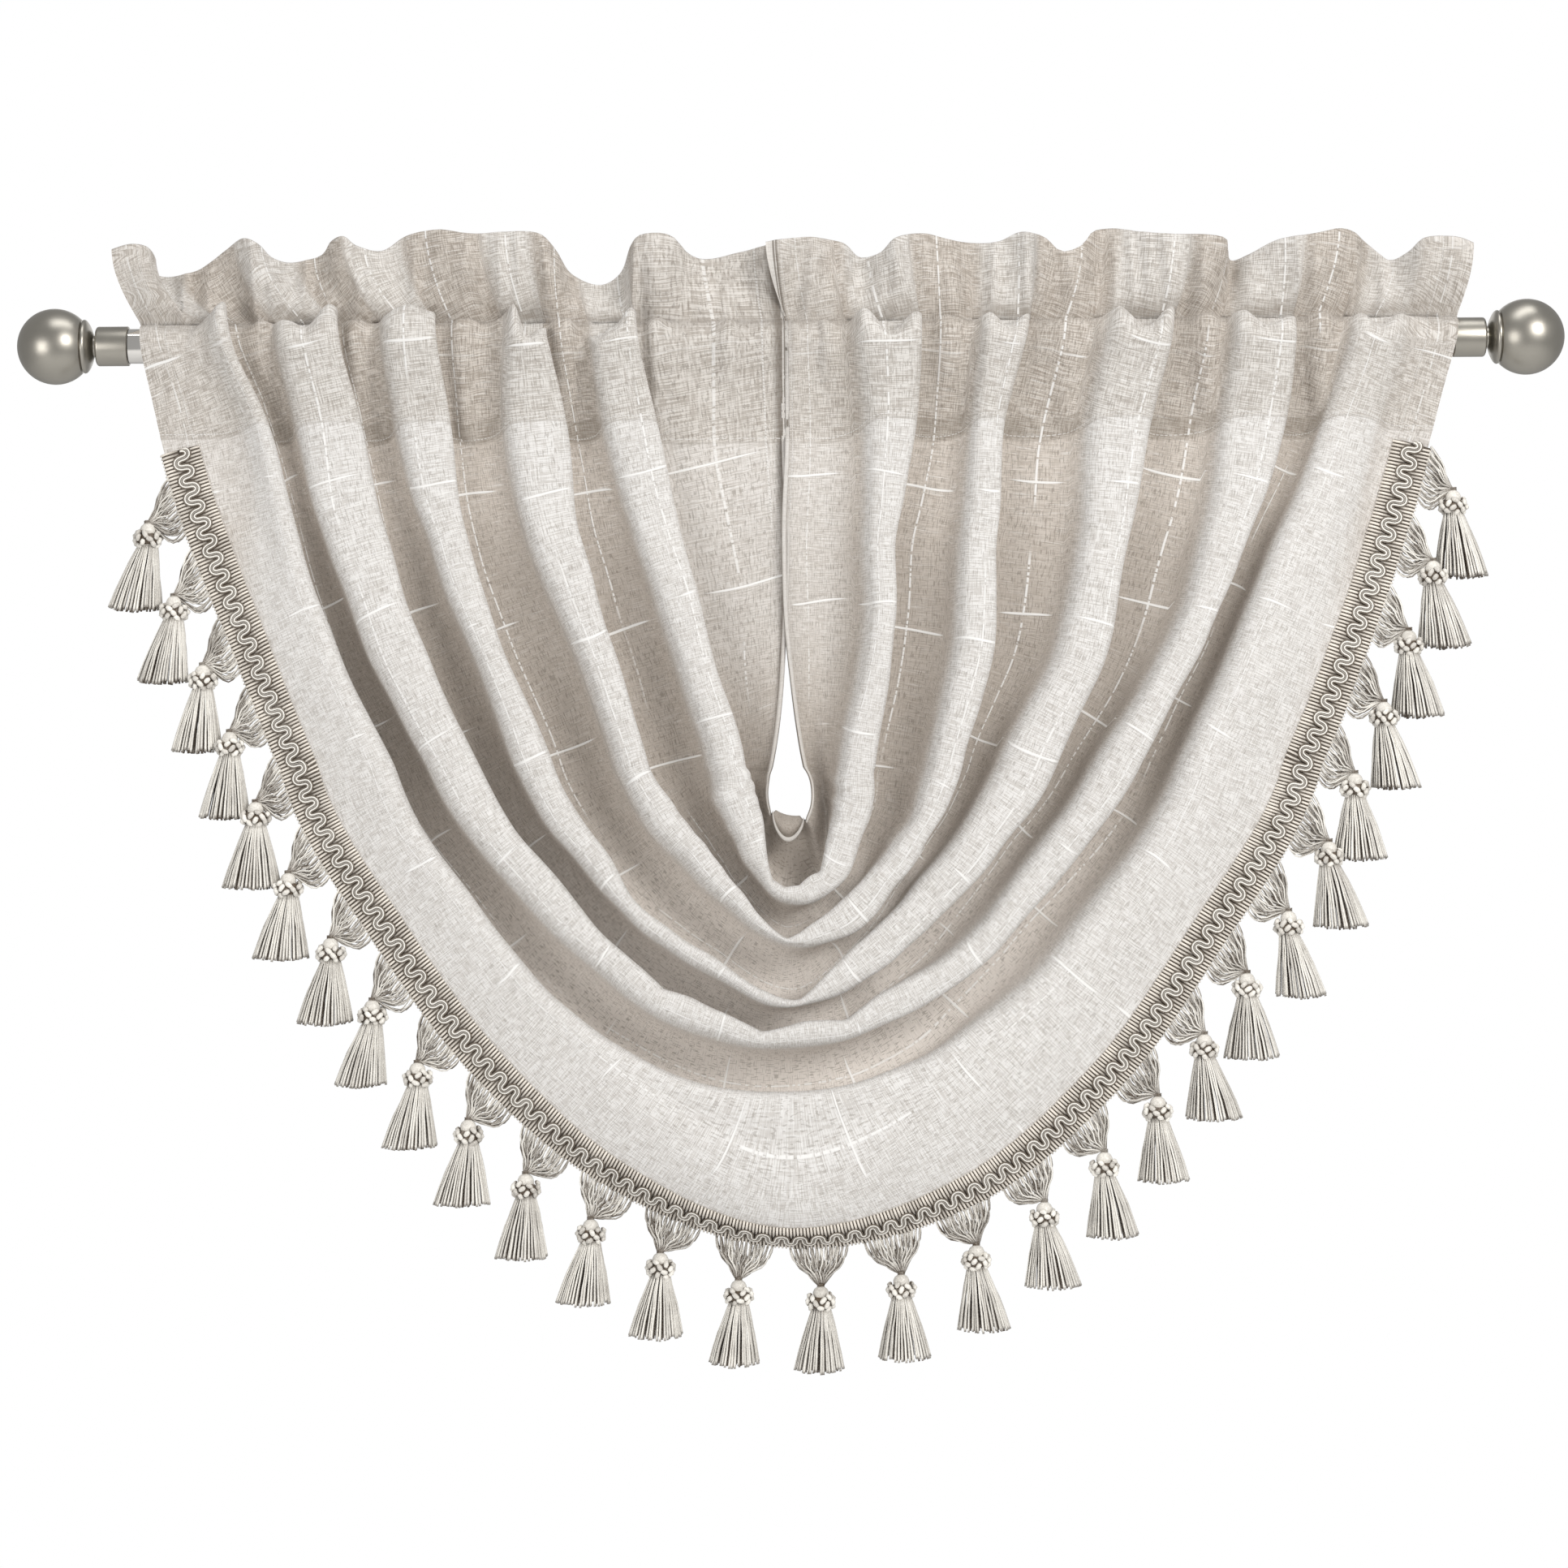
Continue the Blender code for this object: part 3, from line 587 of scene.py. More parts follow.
def pocket_row(cut, entry, sign):
    """The front and the back of one row of the rod pocket."""
    settle = smooth((entry[0] - 0.35) / 0.65)
    line, behind = [], []
    for distance, _, rise in cut:
        height, depth = pocket_spot(entry, distance, clamp(rise), sign)
        spot = Vector((sign * distance, -depth, height))
        line.append(crumple(spot, HEADING_CRUMPLE))
        aft = -entry[5] + 2.0 * wander(distance, 7.0, height, 26.0)
        aft = min(lerp(aft, depth - LAYER_GAP, settle), depth - LAYER_GAP)
        behind.append(Vector((sign * distance, -aft, lerp(entry[1], height, settle))))
    return line, behind


def heading_rows(right):
    """Front and back rows of a heading, from its top edge down to the seam."""
    end, sign = (RIGHT_SEAM + 1, 1.0) if right else (0, -1.0)
    fronts, backs, rises = [], [], []
    stitch = fine_cut(float(end))
    shares = [0.0]
    for (a, b, _), (c, d, _) in zip(stitch, stitch[1:]):
        shares.append(shares[-1] + math.hypot(c - a, 0.6 * (d - b)))
    shares = [share / shares[-1] for share in shares]
    crown = along_curve(RUFFLE_RIGHT if right else RUFFLE_LEFT, shares)
    for row in range(RUFFLE_ROWS):
        line = ruffle_row(stitch, crown, 1.0 - row / RUFFLE_ROWS, sign)
        fronts.append(line)
        backs.append([point + Vector((0.0, LAYER_GAP, 0.0)) for point in line])
        rises.append([rise for _, _, rise in stitch])
    for row in range(POCKET_ROWS):
        spot = row / POCKET_ROWS * (len(POCKET) - 1)
        entry = [through([line[i] for line in POCKET], spot) for i in range(6)]
        cut = fine_cut(end - sign * entry[0])
        line, behind = pocket_row(cut, entry, sign)
        fronts.append(line)
        backs.append(behind)
        rises.append([rise for _, _, rise in cut])
    return fronts, backs, rises


swag = [
    swag_row(LEFT_SEAM + (RIGHT_SEAM - LEFT_SEAM) * step / SWAG_ROWS)
    for step in range(SWAG_ROWS + 1)
]
left_front, left_back, left_rises = heading_rows(right=False)
right_front, right_back, right_rises = heading_rows(right=True)
for backs, seam in ((left_back, swag[0][0]), (right_back, swag[-1][0])):
    backs.append([point + Vector((0.0, LAYER_GAP * 0.7, -1.0)) for point in seam])


def turn_over(front_top, back_top):
    """One row a little above the two layers, where the cloth turns over."""
    return [(a + b) / 2.0 + Vector((0.0, 0.0, 0.6)) for a, b in zip(front_top, back_top)]


sheet_rows = (
    left_back[::-1] + [turn_over(left_front[0], left_back[0])] + left_front
    + [line for line, _ in swag]
    + right_front[::-1] + [turn_over(right_front[0], right_back[0])] + right_back
)
first_swag_row = len(left_back) + 1 + len(left_front)
bottom_row = first_swag_row + SWAG_ROWS // 2
print("rows:", len(sheet_rows), " points in a row:", len(sheet_rows[0]))


# %% [markdown]
# The weave has to follow the cloth round every fold, so the sheet gets its
# own UV map in metres: U runs across from the slit's hem and V along the
# folds from the bottom of the swag.  A second map carries the check.  Its V
# is stretched a little on every fold, so that the threads across the cloth
# stay square to that fold and still come out level along the rod.
# Three more values are stored at each point: how high on its fold it stands,
# how far below the pocket's seam it lies, and how much painted shade it
# takes in the gathers by the stitching.

# %% Make the sheet
def across_lengths(rows):
    """Mean distance of every column from the slit, along the cloth."""
    columns = len(rows[0])
    totals = [0.0] * columns
    for line in rows:
        run = 0.0
        for column in range(columns - 2, -1, -1):
            run += (line[column] - line[column + 1]).length
            totals[column] += run
    return [total / len(rows) for total in totals]


def along_lengths(rows, origin):
    """Distance of every point from the bottom row, along its own column."""
    lengths = [[0.0] * len(rows[0]) for _ in rows]
    for way, stop in ((1, len(rows)), (-1, -1)):
        for row in range(origin + way, stop, way):
            lengths[row] = [
                length + way * (point - before).length
                for length, point, before in zip(lengths[row - way], rows[row], rows[row - way])
            ]
    return lengths


def new_piece(name, points, faces, values, material=None):
    """An object from points in millimetres, with its stored point values."""
    mesh = bpy.data.meshes.new(name)
    mesh.from_pydata([tuple(Vector(point) * MM) for point in points], [], faces)
    mesh.shade_smooth()
    for title, numbers in values.items():
        mesh.attributes.new(title, "FLOAT", "POINT").data.foreach_set("value", numbers)
    if material:
        mesh.materials.append(material)
    made = bpy.data.objects.new(name, mesh)
    bpy.context.scene.collection.objects.link(made)
    return made


def make_sheet(name, rows, maps, values):
    """A grid of quads with its UV maps and its stored point values."""
    columns = len(rows[0])
    faces = []
    for row in range(len(rows) - 1):
        for a in range(row * columns, (row + 1) * columns - 1):
            faces.append((a, a + columns, a + columns + 1, a + 1))
    flat_values = {title: sum(lines, []) for title, lines in values.items()}
    made = new_piece(name, sum(rows, []), faces, flat_values)
    for title, (across, along) in maps.items():
        corners = []
        for loop in made.data.loops:
            row, column = divmod(loop.vertex_index, columns)
            corners += (across[column] * MM, along[row][column] * MM)
        made.data.uv_layers.new(name=title).data.foreach_set("uv", corners)
    return made


CHECK_PITCH = 108.0
FOLD_COLUMNS = 9 * ACROSS_STEPS
CREST_COLUMNS = 28


def fold_middle(column):
    """The middle column of the crest or the valley that a column lies on."""
    fold, inside = divmod(max(column - 8, 0), FOLD_COLUMNS)
    on_crest = fold < len(FOLDS) and inside < CREST_COLUMNS
    return min(fold, len(FOLDS) - 1) * FOLD_COLUMNS + (20 if on_crest else 41)


def check_lengths(rows, lengths, rod_rows):
    middles = [fold_middle(column) for column in range(len(rows[0]))]
    made = []
    for row, line in enumerate(rows):
        at_rod = lengths[rod_rows[row >= bottom_row]]
        ahead, behind = rows[min(row + 2, len(rows) - 1)], rows[max(row - 2, 0)]
        values = []
        for column, middle in enumerate(middles):
            full = abs(at_rod[middle])
            pitch = full / (max(round(full / CHECK_PITCH - 0.5), 1) + 0.5)
            along = (ahead[middle] - behind[middle]).normalized()
            length = lengths[row][middle] + (line[column] - line[middle]).dot(along)
            values.append(length / pitch * CHECK_PITCH)
        made.append(values)
    return made


u_of = across_lengths([line for line, _ in swag])
v_of = along_lengths(sheet_rows, bottom_row)
columns = len(u_of)
left_seam_row, right_seam_row = first_swag_row, first_swag_row + SWAG_ROWS
rod_row = POCKET_ROWS * 4 // 9
check_v = check_lengths(sheet_rows, v_of, (left_seam_row - rod_row, right_seam_row + rod_row))
swag_heights = [rises for _, rises in swag]
heights = (
    [swag_heights[0]] + left_rises[::-1] + [left_rises[0]] + left_rises + swag_heights
    + right_rises[::-1] + [right_rises[0]] + right_rises + [swag_heights[-1]]
)
heights = [[clamp(rise, -1.0, 1.0) for rise in line] for line in heights]


def crease_shade_rows():
    """How much painted shade each point takes in the gathers by the upper stitching."""
    made = [[0.0] * columns for _ in sheet_rows]
    for first, step, rise_rows in (
        (len(left_back) + 1, 1, left_rises),
        (len(sheet_rows) - len(right_back) - 2, -1, right_rises),
    ):
        for row, rises in enumerate(rise_rows):
            rises = [clamp(rise) for rise in rises]
            up = (RUFFLE_ROWS - row) / RUFFLE_ROWS
            down = (row - RUFFLE_ROWS) / POCKET_ROWS
            if up > 0.0:
                near = math.exp(-((up / 0.20) ** 2))
                made[first + step * row] = [(0.25 + 0.75 * rise) * near for rise in rises]
            else:
                near = math.exp(-((down / 0.22) ** 2))
                made[first + step * row] = [(1.0 - rise) * 0.6 * near for rise in rises]
    return made


below = [
    [v - seam for v, seam in zip(line, v_of[left_seam_row])] if row < bottom_row
    else [seam - v for v, seam in zip(line, v_of[right_seam_row])]
    for row, line in enumerate(v_of)
]
cloth = make_sheet(
    "draped_cloth", sheet_rows,
    {"cloth": (u_of, v_of), "check": (u_of, check_v)},
    {"height": heights, "below": below, "crease_shade": crease_shade_rows()},
)
print("cloth:", len(cloth.data.polygons) * 2, "triangles,", round(max(u_of)), "mm wide flat")


# %% [markdown]
# The cloth is a linen-look sheer: thin dull threads across, finer ones
# along, dark slubs that run with the folds, and an open check of single
# white threads with short raised strokes where they cross.  All of it can be
# worked out from a UV map with noise and a few comparisons.  Shader trees
# repeat the same few nodes, so a small builder gives each a short name.

# %% Node helpers
class Nodes:
    """Adds shader nodes to one tree, by short names for the usual ones."""

    def __init__(self, tree):
        self.tree = tree

    def put(self, socket, value):
        """Link a socket to another one, or set it; a colour gets its alpha."""
        if isinstance(value, bpy.types.NodeSocket):
            self.tree.links.new(value, socket)
        elif socket.type == "RGBA":
            socket.default_value = (*value[:3], 1.0)
        else:
            socket.default_value = value

    def fill(self, node, inputs):
        """Put values on a node's inputs, by name or in their order."""
        pairs = inputs.items() if isinstance(inputs, dict) else enumerate(inputs)
        for key, value in pairs:
            self.put(node.inputs[key], value)
        return node

    def add(self, kind, inputs=(), **settings):
        node = self.tree.nodes.new("ShaderNode" + kind)
        for name, value in settings.items():
            setattr(node, name, value)
        return self.fill(node, inputs)

    def calc(self, kind, *values, limit=False):
        return self.add("Math", values, operation=kind, use_clamp=limit).outputs[0]

    def plus(self, first, second):
        return self.calc("ADD", first, second)

    def times(self, first, *others):
        for other in others:
            first = self.calc("MULTIPLY", first, other)
        return first

    def most(self, first, *others):
        for other in others:
            first = self.calc("MAXIMUM", first, other)
        return first

    def ramp(self, value, low, high, to_low=0.0, to_high=1.0):
        """A soft change from `to_low` at `low` to `to_high` at `high`."""
        entries = (value, low, high, to_low, to_high)
        return self.add("MapRange", entries, interpolation_type="SMOOTHSTEP").outputs[0]

    def mix(self, share, first, second):
        entries = {"Factor": share, "A": first, "B": second}
        return self.add("Mix", entries, data_type="RGBA").outputs["Result"]

    def speckle(self, where, size_u, size_v, detail=2.0, shift=None):
        """Noise stretched to a size in metres along u and v."""
        if shift:
            where = self.add("VectorMath", (where, (*shift, 0.0)), operation="ADD").outputs[0]
        scale = (1.0 / size_u, 1.0 / size_v, 0.0)
        scaled = self.add("VectorMath", (where, scale), operation="MULTIPLY").outputs[0]
        entries = {"Vector": scaled, "Scale": 1.0, "Detail": detail, "Roughness": 0.5}
        return self.add("TexNoise", entries, noise_dimensions="2D").outputs["Fac"]

    def around_zero(self, value, span):
        """Turn a value from 0 to 1 into one from -span/2 to span/2."""
        return self.calc("MULTIPLY_ADD", value, span, -span / 2.0)

    def split(self, where):
        return self.add("SeparateXYZ", (where,)).outputs[:2]

    def attribute(self, name):
        return self.add("Attribute", attribute_name=name).outputs["Fac"]

    def bump(self, height, strength, distance):
        entries = {"Strength": strength, "Distance": distance, "Height": height}
        return self.add("Bump", entries).outputs["Normal"]

    def use(self, name, **inputs):
        """The outputs of a node group."""
        return self.add("Group", node_tree=bpy.data.node_groups[name], inputs=inputs).outputs

    def result(self, **values):
        """Declare a group's outputs and link them."""
        for title in values:
            kind = "NodeSocketColor" if title == "Color" else "NodeSocketFloat"
            self.tree.interface.new_socket(title, in_out="OUTPUT", socket_type=kind)
        self.fill(self.tree.nodes.new("NodeGroupOutput"), values)


def new_group(name, **inputs):
    """An empty node group: its builder and the sockets that it reads.

    An input that starts as None is a vector, and one that starts as three
    numbers is a colour.
    """
    tree = bpy.data.node_groups.new(name, "ShaderNodeTree")
    nodes = Nodes(tree)
    for title, value in inputs.items():
        kind = "Vector" if value is None else "Color" if isinstance(value, tuple) else "Float"
        socket = tree.interface.new_socket(
            title, in_out="INPUT", socket_type="NodeSocket" + kind
        )
        if value is not None:
            socket.default_value = (*value, 1.0) if kind == "Color" else value
    return nodes, tree.nodes.new("NodeGroupInput").outputs


def new_material(name):
    """A material, its builder, its surface shader and its output."""
    made = bpy.data.materials.new(name)
    made.use_nodes = True
    tree = made.node_tree
    return made, Nodes(tree), tree.nodes["Principled BSDF"], tree.nodes["Material Output"]


print("node helpers ready")


# %% [markdown]
# One group makes the weave: cross threads, long threads, slubs and dark
# flecks.  Another makes the open check.  Its long lines are thin and broken
# and run on the crests and in the valleys, and the strokes that cross them
# are short, thick and bright.  A third marks what is sewn or turned over,
# with painted light on the rolled edge and painted shadow under it and just
# below the pocket's seam.
# Sizes along the cloth are in metres here, and `Below` is in millimetres.

# %% Groups for the weave and the check
CHECK_ACROSS, CHECK_ACROSS_FROM = 0.0715, 0.035
CHECK_ALONG = CHECK_PITCH * MM
LINE_HALF, STROKE_HALF = 0.00082, 0.00130
SLIT_STITCHING, SIDE_STITCHING, THREAD_HALF = 0.0175, 0.0225, 0.00045
SEAM_STITCHING, SEAM_HALF = -2.4, 0.55
HALF_STITCH = 0.00135
ROLL_EDGE = 0.0100


def build_weave():
    nodes, source = new_group("linen_weave", UV=None)
    where, ramp, times, plus = source["UV"], nodes.ramp, nodes.times, nodes.plus

    def noise_of(*sizes, shift=None):
        return nodes.speckle(where, *sizes, shift=shift)

    cross, long = noise_of(0.0140, 0.00074, 0.5), noise_of(0.00080, 0.0150, 0.5)
    patch = nodes.around_zero(noise_of(0.045, 0.060, 2.0, shift=(1.3, 9.1)), 0.14)
    fleck_long = plus(noise_of(0.00070, 0.0062, 0.0, shift=(3.1, 1.7)), patch)
    fleck_cross = plus(noise_of(0.0052, 0.00070, 0.0, shift=(7.3, 4.1)), patch)
    nodes.result(
        Thread=plus(times(cross, 0.60), times(long, 0.40)),
        Slub=ramp(noise_of(0.022, 0.0011, 1.0, shift=(2.2, 5.5)), 0.62, 0.78),
        Fleck=nodes.most(
            ramp(fleck_long, 0.66, 0.73), times(ramp(fleck_cross, 0.68, 0.75), 0.75)
        ),
    )


def build_check():
    nodes, source = new_group("open_check", UV=None)
    where, ramp, times, plus = source["UV"], nodes.ramp, nodes.times, nodes.plus
    u, v = nodes.split(where)

    def wobble(size_u, size_v, detail, span):
        return nodes.around_zero(nodes.speckle(where, size_u, size_v, detail), span)

    def from_lines(coordinate, pitch, first):
        """Distance from lines that repeat every `pitch` metres."""
        return nodes.calc("PINGPONG", plus(coordinate, -first), pitch / 2.0)

    def line(away, half):
        return ramp(away, half, times(half, 0.45))

    u_near = plus(u, wobble(0.60, 0.30, 1.0, 0.016))
    v_near = plus(v, wobble(0.045, 0.045, 0.0, 0.007))
    across = from_lines(u_near, CHECK_ACROSS, CHECK_ACROSS_FROM)
    along = from_lines(v_near, CHECK_ALONG, CHECK_ALONG / 2.0)
    stitches = ramp(nodes.speckle(where, 0.02, 0.0034, 0.0), 0.37, 0.44)
    faded = ramp(nodes.speckle(where, 0.06, 0.10, 0.0, (5.0, 2.0)), 0.24, 0.38)
    # A stroke is thick by a long line and thins out with distance from it.
    away = plus(across, wobble(0.11, 0.11, 0.0, 0.030))
    taper = times(ramp(away, 0.024, 0.006, 0.25, 1.0), STROKE_HALF)
    thin = ramp(nodes.speckle(where, 0.016, 0.060, 1.0, (8.0, 8.0)), 0.50, 0.62, 0.0, 0.30)
    nodes.result(
        Line=times(line(across, LINE_HALF), stitches, faded),
        Stroke=times(line(along, taper), nodes.most(ramp(away, 0.021, 0.013), thin)),
    )


def build_seams():
    """Stitching, hems, doubled cloth, rolled edge, flat panels; painted light and shadows."""
    nodes, source = new_group("sewn_lines", UV=None, Below=0.0, Height=0.0, Width=900.0)
    ramp, times, most = nodes.ramp, nodes.times, nodes.most
    below = source["Below"]
    u, v = nodes.split(source["UV"])
    from_edge = nodes.calc("SUBTRACT", source["Width"], u)

    def near(value, middle, half):
        away = nodes.calc("ABSOLUTE", nodes.plus(value, -middle))
        return ramp(away, half, half * 0.5)

    def dashes(value):
        return ramp(nodes.calc("PINGPONG", value, HALF_STITCH), 0.0003, 0.0006)

    seam = times(near(below, SEAM_STITCHING, SEAM_HALF), dashes(u))
    slit_hem = times(near(u, SLIT_STITCHING, THREAD_HALF), dashes(v), ramp(below, 90.0, 50.0))
    side_hem = near(from_edge, SIDE_STITCHING, THREAD_HALF)
    side_hem = times(side_hem, dashes(v), ramp(below, 4.0, 0.0))
    double = ramp(below, 0.4, -0.4)
    uneven = ramp(nodes.speckle(source["UV"], 0.05, 0.03), 0.30, 0.55, 0.45, 1.0)
    strip = times(ramp(below, -17.5, -16.2), double, uneven)
    strip = times(strip, ramp(from_edge, 0.105, 0.125), ramp(u, 0.065, 0.085))
    # painted shadow under the rolled edge
    under = times(ramp(u, 0.0150, 0.0108), ramp(u, 0.0093, ROLL_EDGE))
    inner_panel = times(ramp(u, 0.085, 0.050), ramp(below, 280.0, 130.0))
    outer_panel = times(ramp(from_edge, 0.100, 0.060), ramp(below, 130.0, 50.0))
    nodes.result(
        Stitch=most(seam, slit_hem, side_hem),
        # The pocket's turned hem, and a painted shadow line just below its seam.
        Hem=most(
            times(strip, ramp(source["Height"], 0.50, 0.22)), times(near(below, 0.9, 1.1), 0.70)
        ),
        Double=double,
        # The rolled edge is lighter for its layers, and with painted light.
        Rolled=ramp(u, ROLL_EDGE, 0.0090),
        # Painted shadow under the rolled edge, and a painted dark outline on its slit side.
        Under=most(under, near(u, 0.0076, 0.0016)),
        Slit=times(ramp(u, 0.070, 0.045), ramp(below, 170.0, 230.0)),
        Panel=times(most(inner_panel, outer_panel), 0.6),
    )


build_weave()
build_check()
build_seams()
print("groups:", [tree.name for tree in bpy.data.node_groups])


# %% [markdown]
# The finished linen mixes an ordinary rough surface with a translucent one,
# because light comes through a single layer.  Where two layers lie on each
# other, less gets through and the threads of both show, so it is darker.
# Painted light, painted shade and thread are then laid over the weave one
# after another.

# %% Linen material
def linen_material():
    made, nodes, shader, output = new_material("linen")
    ramp, times, mix, use = nodes.ramp, nodes.times, nodes.mix, nodes.use
    flat, check_map = (
        nodes.add("UVMap", uv_map=title).outputs["UV"] for title in ("cloth", "check")
    )
    height, below, crease_shade = (nodes.attribute(name) for name in ("height", "below", "crease_shade"))
    weave, check = use("linen_weave", UV=check_map), use("open_check", UV=check_map)
    sewn = use("sewn_lines", UV=flat, Below=below, Height=height, Width=max(u_of) * MM)
    panel = sewn["Panel"]
    crest = nodes.most(ramp(height, 0.30, 0.80), panel)
    valley = nodes.calc("SUBTRACT", 1.0, crest)

    def tone(one_low, one_high, two_low, two_high):
        """Colour for a valley and a crest, of one layer and of two; valleys painted darker as
        shade.
        """
        one, two = mix(crest, one_low, one_high), mix(crest, two_low, two_high)
        return mix(sewn["Double"], one, two)

    # The valley colours are darker than the crest colours: painted shade.
    pale = tone(
        (0.655, 0.60, 0.545), (0.80, 0.785, 0.765), (0.66, 0.61, 0.555), (0.77, 0.745, 0.71),
    )
    deep = tone(
        (0.53, 0.475, 0.42), (0.63, 0.605, 0.575), (0.43, 0.38, 0.33), (0.53, 0.495, 0.455),
    )
    colour = mix(ramp(weave["Thread"], 0.41, 0.59), deep, pale)
    # High up, a valley gets painted shade for the shade of its folds; low
    # down, where it opens out, it gets painted light.
    low = ramp(below, 240.0, 520.0)
    upper = times(valley, ramp(below, 20.0, 120.0), nodes.calc("SUBTRACT", 1.0, low))
    stroke = times(check["Stroke"], ramp(below, -74.0, -62.0, 0.25, 0.95))
    line = times(check["Line"], ramp(panel, 0.2, 0.9, 0.85, 0.45))
    white = times(nodes.most(line, stroke), nodes.calc("SUBTRACT", 1.0, sewn["Slit"]))
    bright = nodes.most(white, times(sewn["Stitch"], 0.55))
    for share, over in (
        (times(weave["Slub"], 0.40), (0.92, 0.91, 0.89)),
        # painted shade high in the valleys
        (times(upper, 0.38), (0.38, 0.335, 0.29)),
        # painted light low in the valleys
        (times(valley, low, 0.68), (0.84, 0.795, 0.75)),
        # Dark flecks of the weave, a little stronger in the valleys as painted shade.
        (times(weave["Fleck"], ramp(crest, 0.0, 1.0, 0.48, 0.36)), (0.20, 0.17, 0.14)),
        # The pocket's turned hem, and a painted shadow line just below its seam.
        (times(sewn["Hem"], 0.40), (0.27, 0.23, 0.185)),
        # The turned flap at the slit, painted darker as shade.
        (ramp(height, -0.1, -1.0, 0.0, 0.42), (0.25, 0.21, 0.17)),
        # The rolled slit edge: lighter for its layers, and with painted light.
        (times(sewn["Rolled"], 0.60), (0.74, 0.715, 0.68)),
        # Painted shadow under the rolled edge and on its slit side.
        (times(sewn["Under"], 0.76), (0.14, 0.115, 0.09)),
        # Painted shade in the gathers by the stitching.
        (times(crease_shade, 0.64), (0.22, 0.185, 0.15)),
        (bright, (0.93, 0.92, 0.90)),
    ):
        colour = mix(share, colour, over)
    raised = nodes.plus(weave["Thread"], times(bright, 1.4))
    nodes.fill(shader, {
        "Base Color": colour, "Roughness": 0.88, "Sheen Weight": 0.15,
        "Sheen Roughness": 0.5, "Specular IOR Level": 0.2,
        "Normal": nodes.bump(raised, 0.6, 0.0005),
    })
    through_light = nodes.add("BsdfTranslucent", {"Color": colour})
    blend = nodes.add("MixShader", (0.12, shader.outputs[0], through_light.outputs[0]))
    nodes.put(output.inputs["Surface"], blend.outputs[0])
    return made


linen = linen_material()
cloth.data.materials.append(linen)
print("linen nodes:", len(linen.node_tree.nodes))


# %% [markdown]
# The braid is a flat gimp tape.  Its edges are fine cross ribs, and down its
# middle run five cords side by side in a snaking line.  It must lie on the
# cloth with its crumple and curl, so first we walk along the cloth's edge and
# note where lines at set distances from it, the rails, lie on the cloth.

# %% The line of the cloth's edge
BRAID_WIDTH = 32.0
BRAID_OVERLAP = 2.0
EDGE_STEP = 0.6
RAILS = (0.0, 5.0, 10.0, 15.0, 20.0, 25.0, 30.0)
EDGE_STRIPS, STRIP_POINTS = 420, 30


def edge_strip(at):
    """The cloth's first points from its edge inward."""
    line = fine_cut(at)[:STRIP_POINTS]
    return [
        crumple(place(at, distance, depth), edge_calm(column))
        for column, (distance, depth, _) in enumerate(line)
    ]


def edge_rails(strips):
    """Lines that run along the edge at set distances, measured on the cloth.

    Each is a list of (length along the edge, point), because a point further
    in belongs to the place on the edge that lies square to it.
    """
    edges = [line[0] for line in strips]
    length = 0.0
    rails = [[] for _ in RAILS]
    for index, line in enumerate(strips):
        length += (edges[index] - edges[max(index - 1, 0)]).length
        along = (edges[min(index + 3, len(edges) - 1)] - edges[max(index - 3, 0)]).normalized()
        rail, run = 0, 0.0
        for start, end in zip(line, line[1:]):
            step = end - start
            across = (step - along * step.dot(along)).length
            while rail < len(RAILS) and RAILS[rail] <= run + across:
                spot = start.lerp(end, (RAILS[rail] - run) / max(across, 1e-6))
                rails[rail].append((length + (spot - line[0]).dot(along), spot))
                rail += 1
            run += across
    return rails, length


def edge_frames(rails, total):
    """Even steps along the edge, each with one point on every rail."""
    frames = []
    places = [0] * len(RAILS)
    for step in range(int(total / EDGE_STEP) + 1):
        goal = step * EDGE_STEP
        points = []
        for number, rail in enumerate(rails):
            while places[number] < len(rail) - 2 and rail[places[number] + 1][0] < goal:
                places[number] += 1
            (low, start), (high, end) = rail[places[number]:places[number] + 2]
            share = clamp((goal - low) / max(high - low, 1e-6), -3.0, 3.0)
            points.append(start.lerp(end, share))
        frames.append(points)
    return frames


seam_to_seam = [
    lerp(LEFT_SEAM + 0.1, RIGHT_SEAM - 0.1, step / EDGE_STRIPS)
    for step in range(EDGE_STRIPS + 1)
]
rails, edge_length = edge_rails([edge_strip(at) for at in seam_to_seam])
edge_line = edge_frames(rails, edge_length)


def on_edge(length, aside=0.0, out=0.0):
    """Point `length` along the edge, `aside` into the cloth, `out` to the room."""
    spot = clamp(length / EDGE_STEP, 0.0, len(edge_line) - 1.001)
    index = int(spot)
    rail = 0
    while rail < len(RAILS) - 2 and RAILS[rail + 1] < aside:
        rail += 1
    share = (aside - RAILS[rail]) / (RAILS[rail + 1] - RAILS[rail])
    here, there = (
        points[rail] + (points[rail + 1] - points[rail]) * share
        for points in edge_line[index:index + 2]
    )
    before, after = edge_line[max(index - 3, 0)], edge_line[min(index + 4, len(edge_line) - 1)]
    along = (after[rail] - before[rail]).normalized()
    now = edge_line[index]
    inward = now[min(rail + 2, len(RAILS) - 1)] - now[max(rail - 1, 0)]
    return here.lerp(there, spot - index) + along.cross(inward).normalized() * out


print("edge length", round(edge_length), "mm")


# %% [markdown]
# The tape is one strip of cross sections, laid on the rails.  The ribs are
# real relief: a short thread every 2.9 mm along both edges, a little slack,
# so that the edge is scalloped.  Each cord is a thin tube that follows a
# meander, which overhangs a little at every bend.

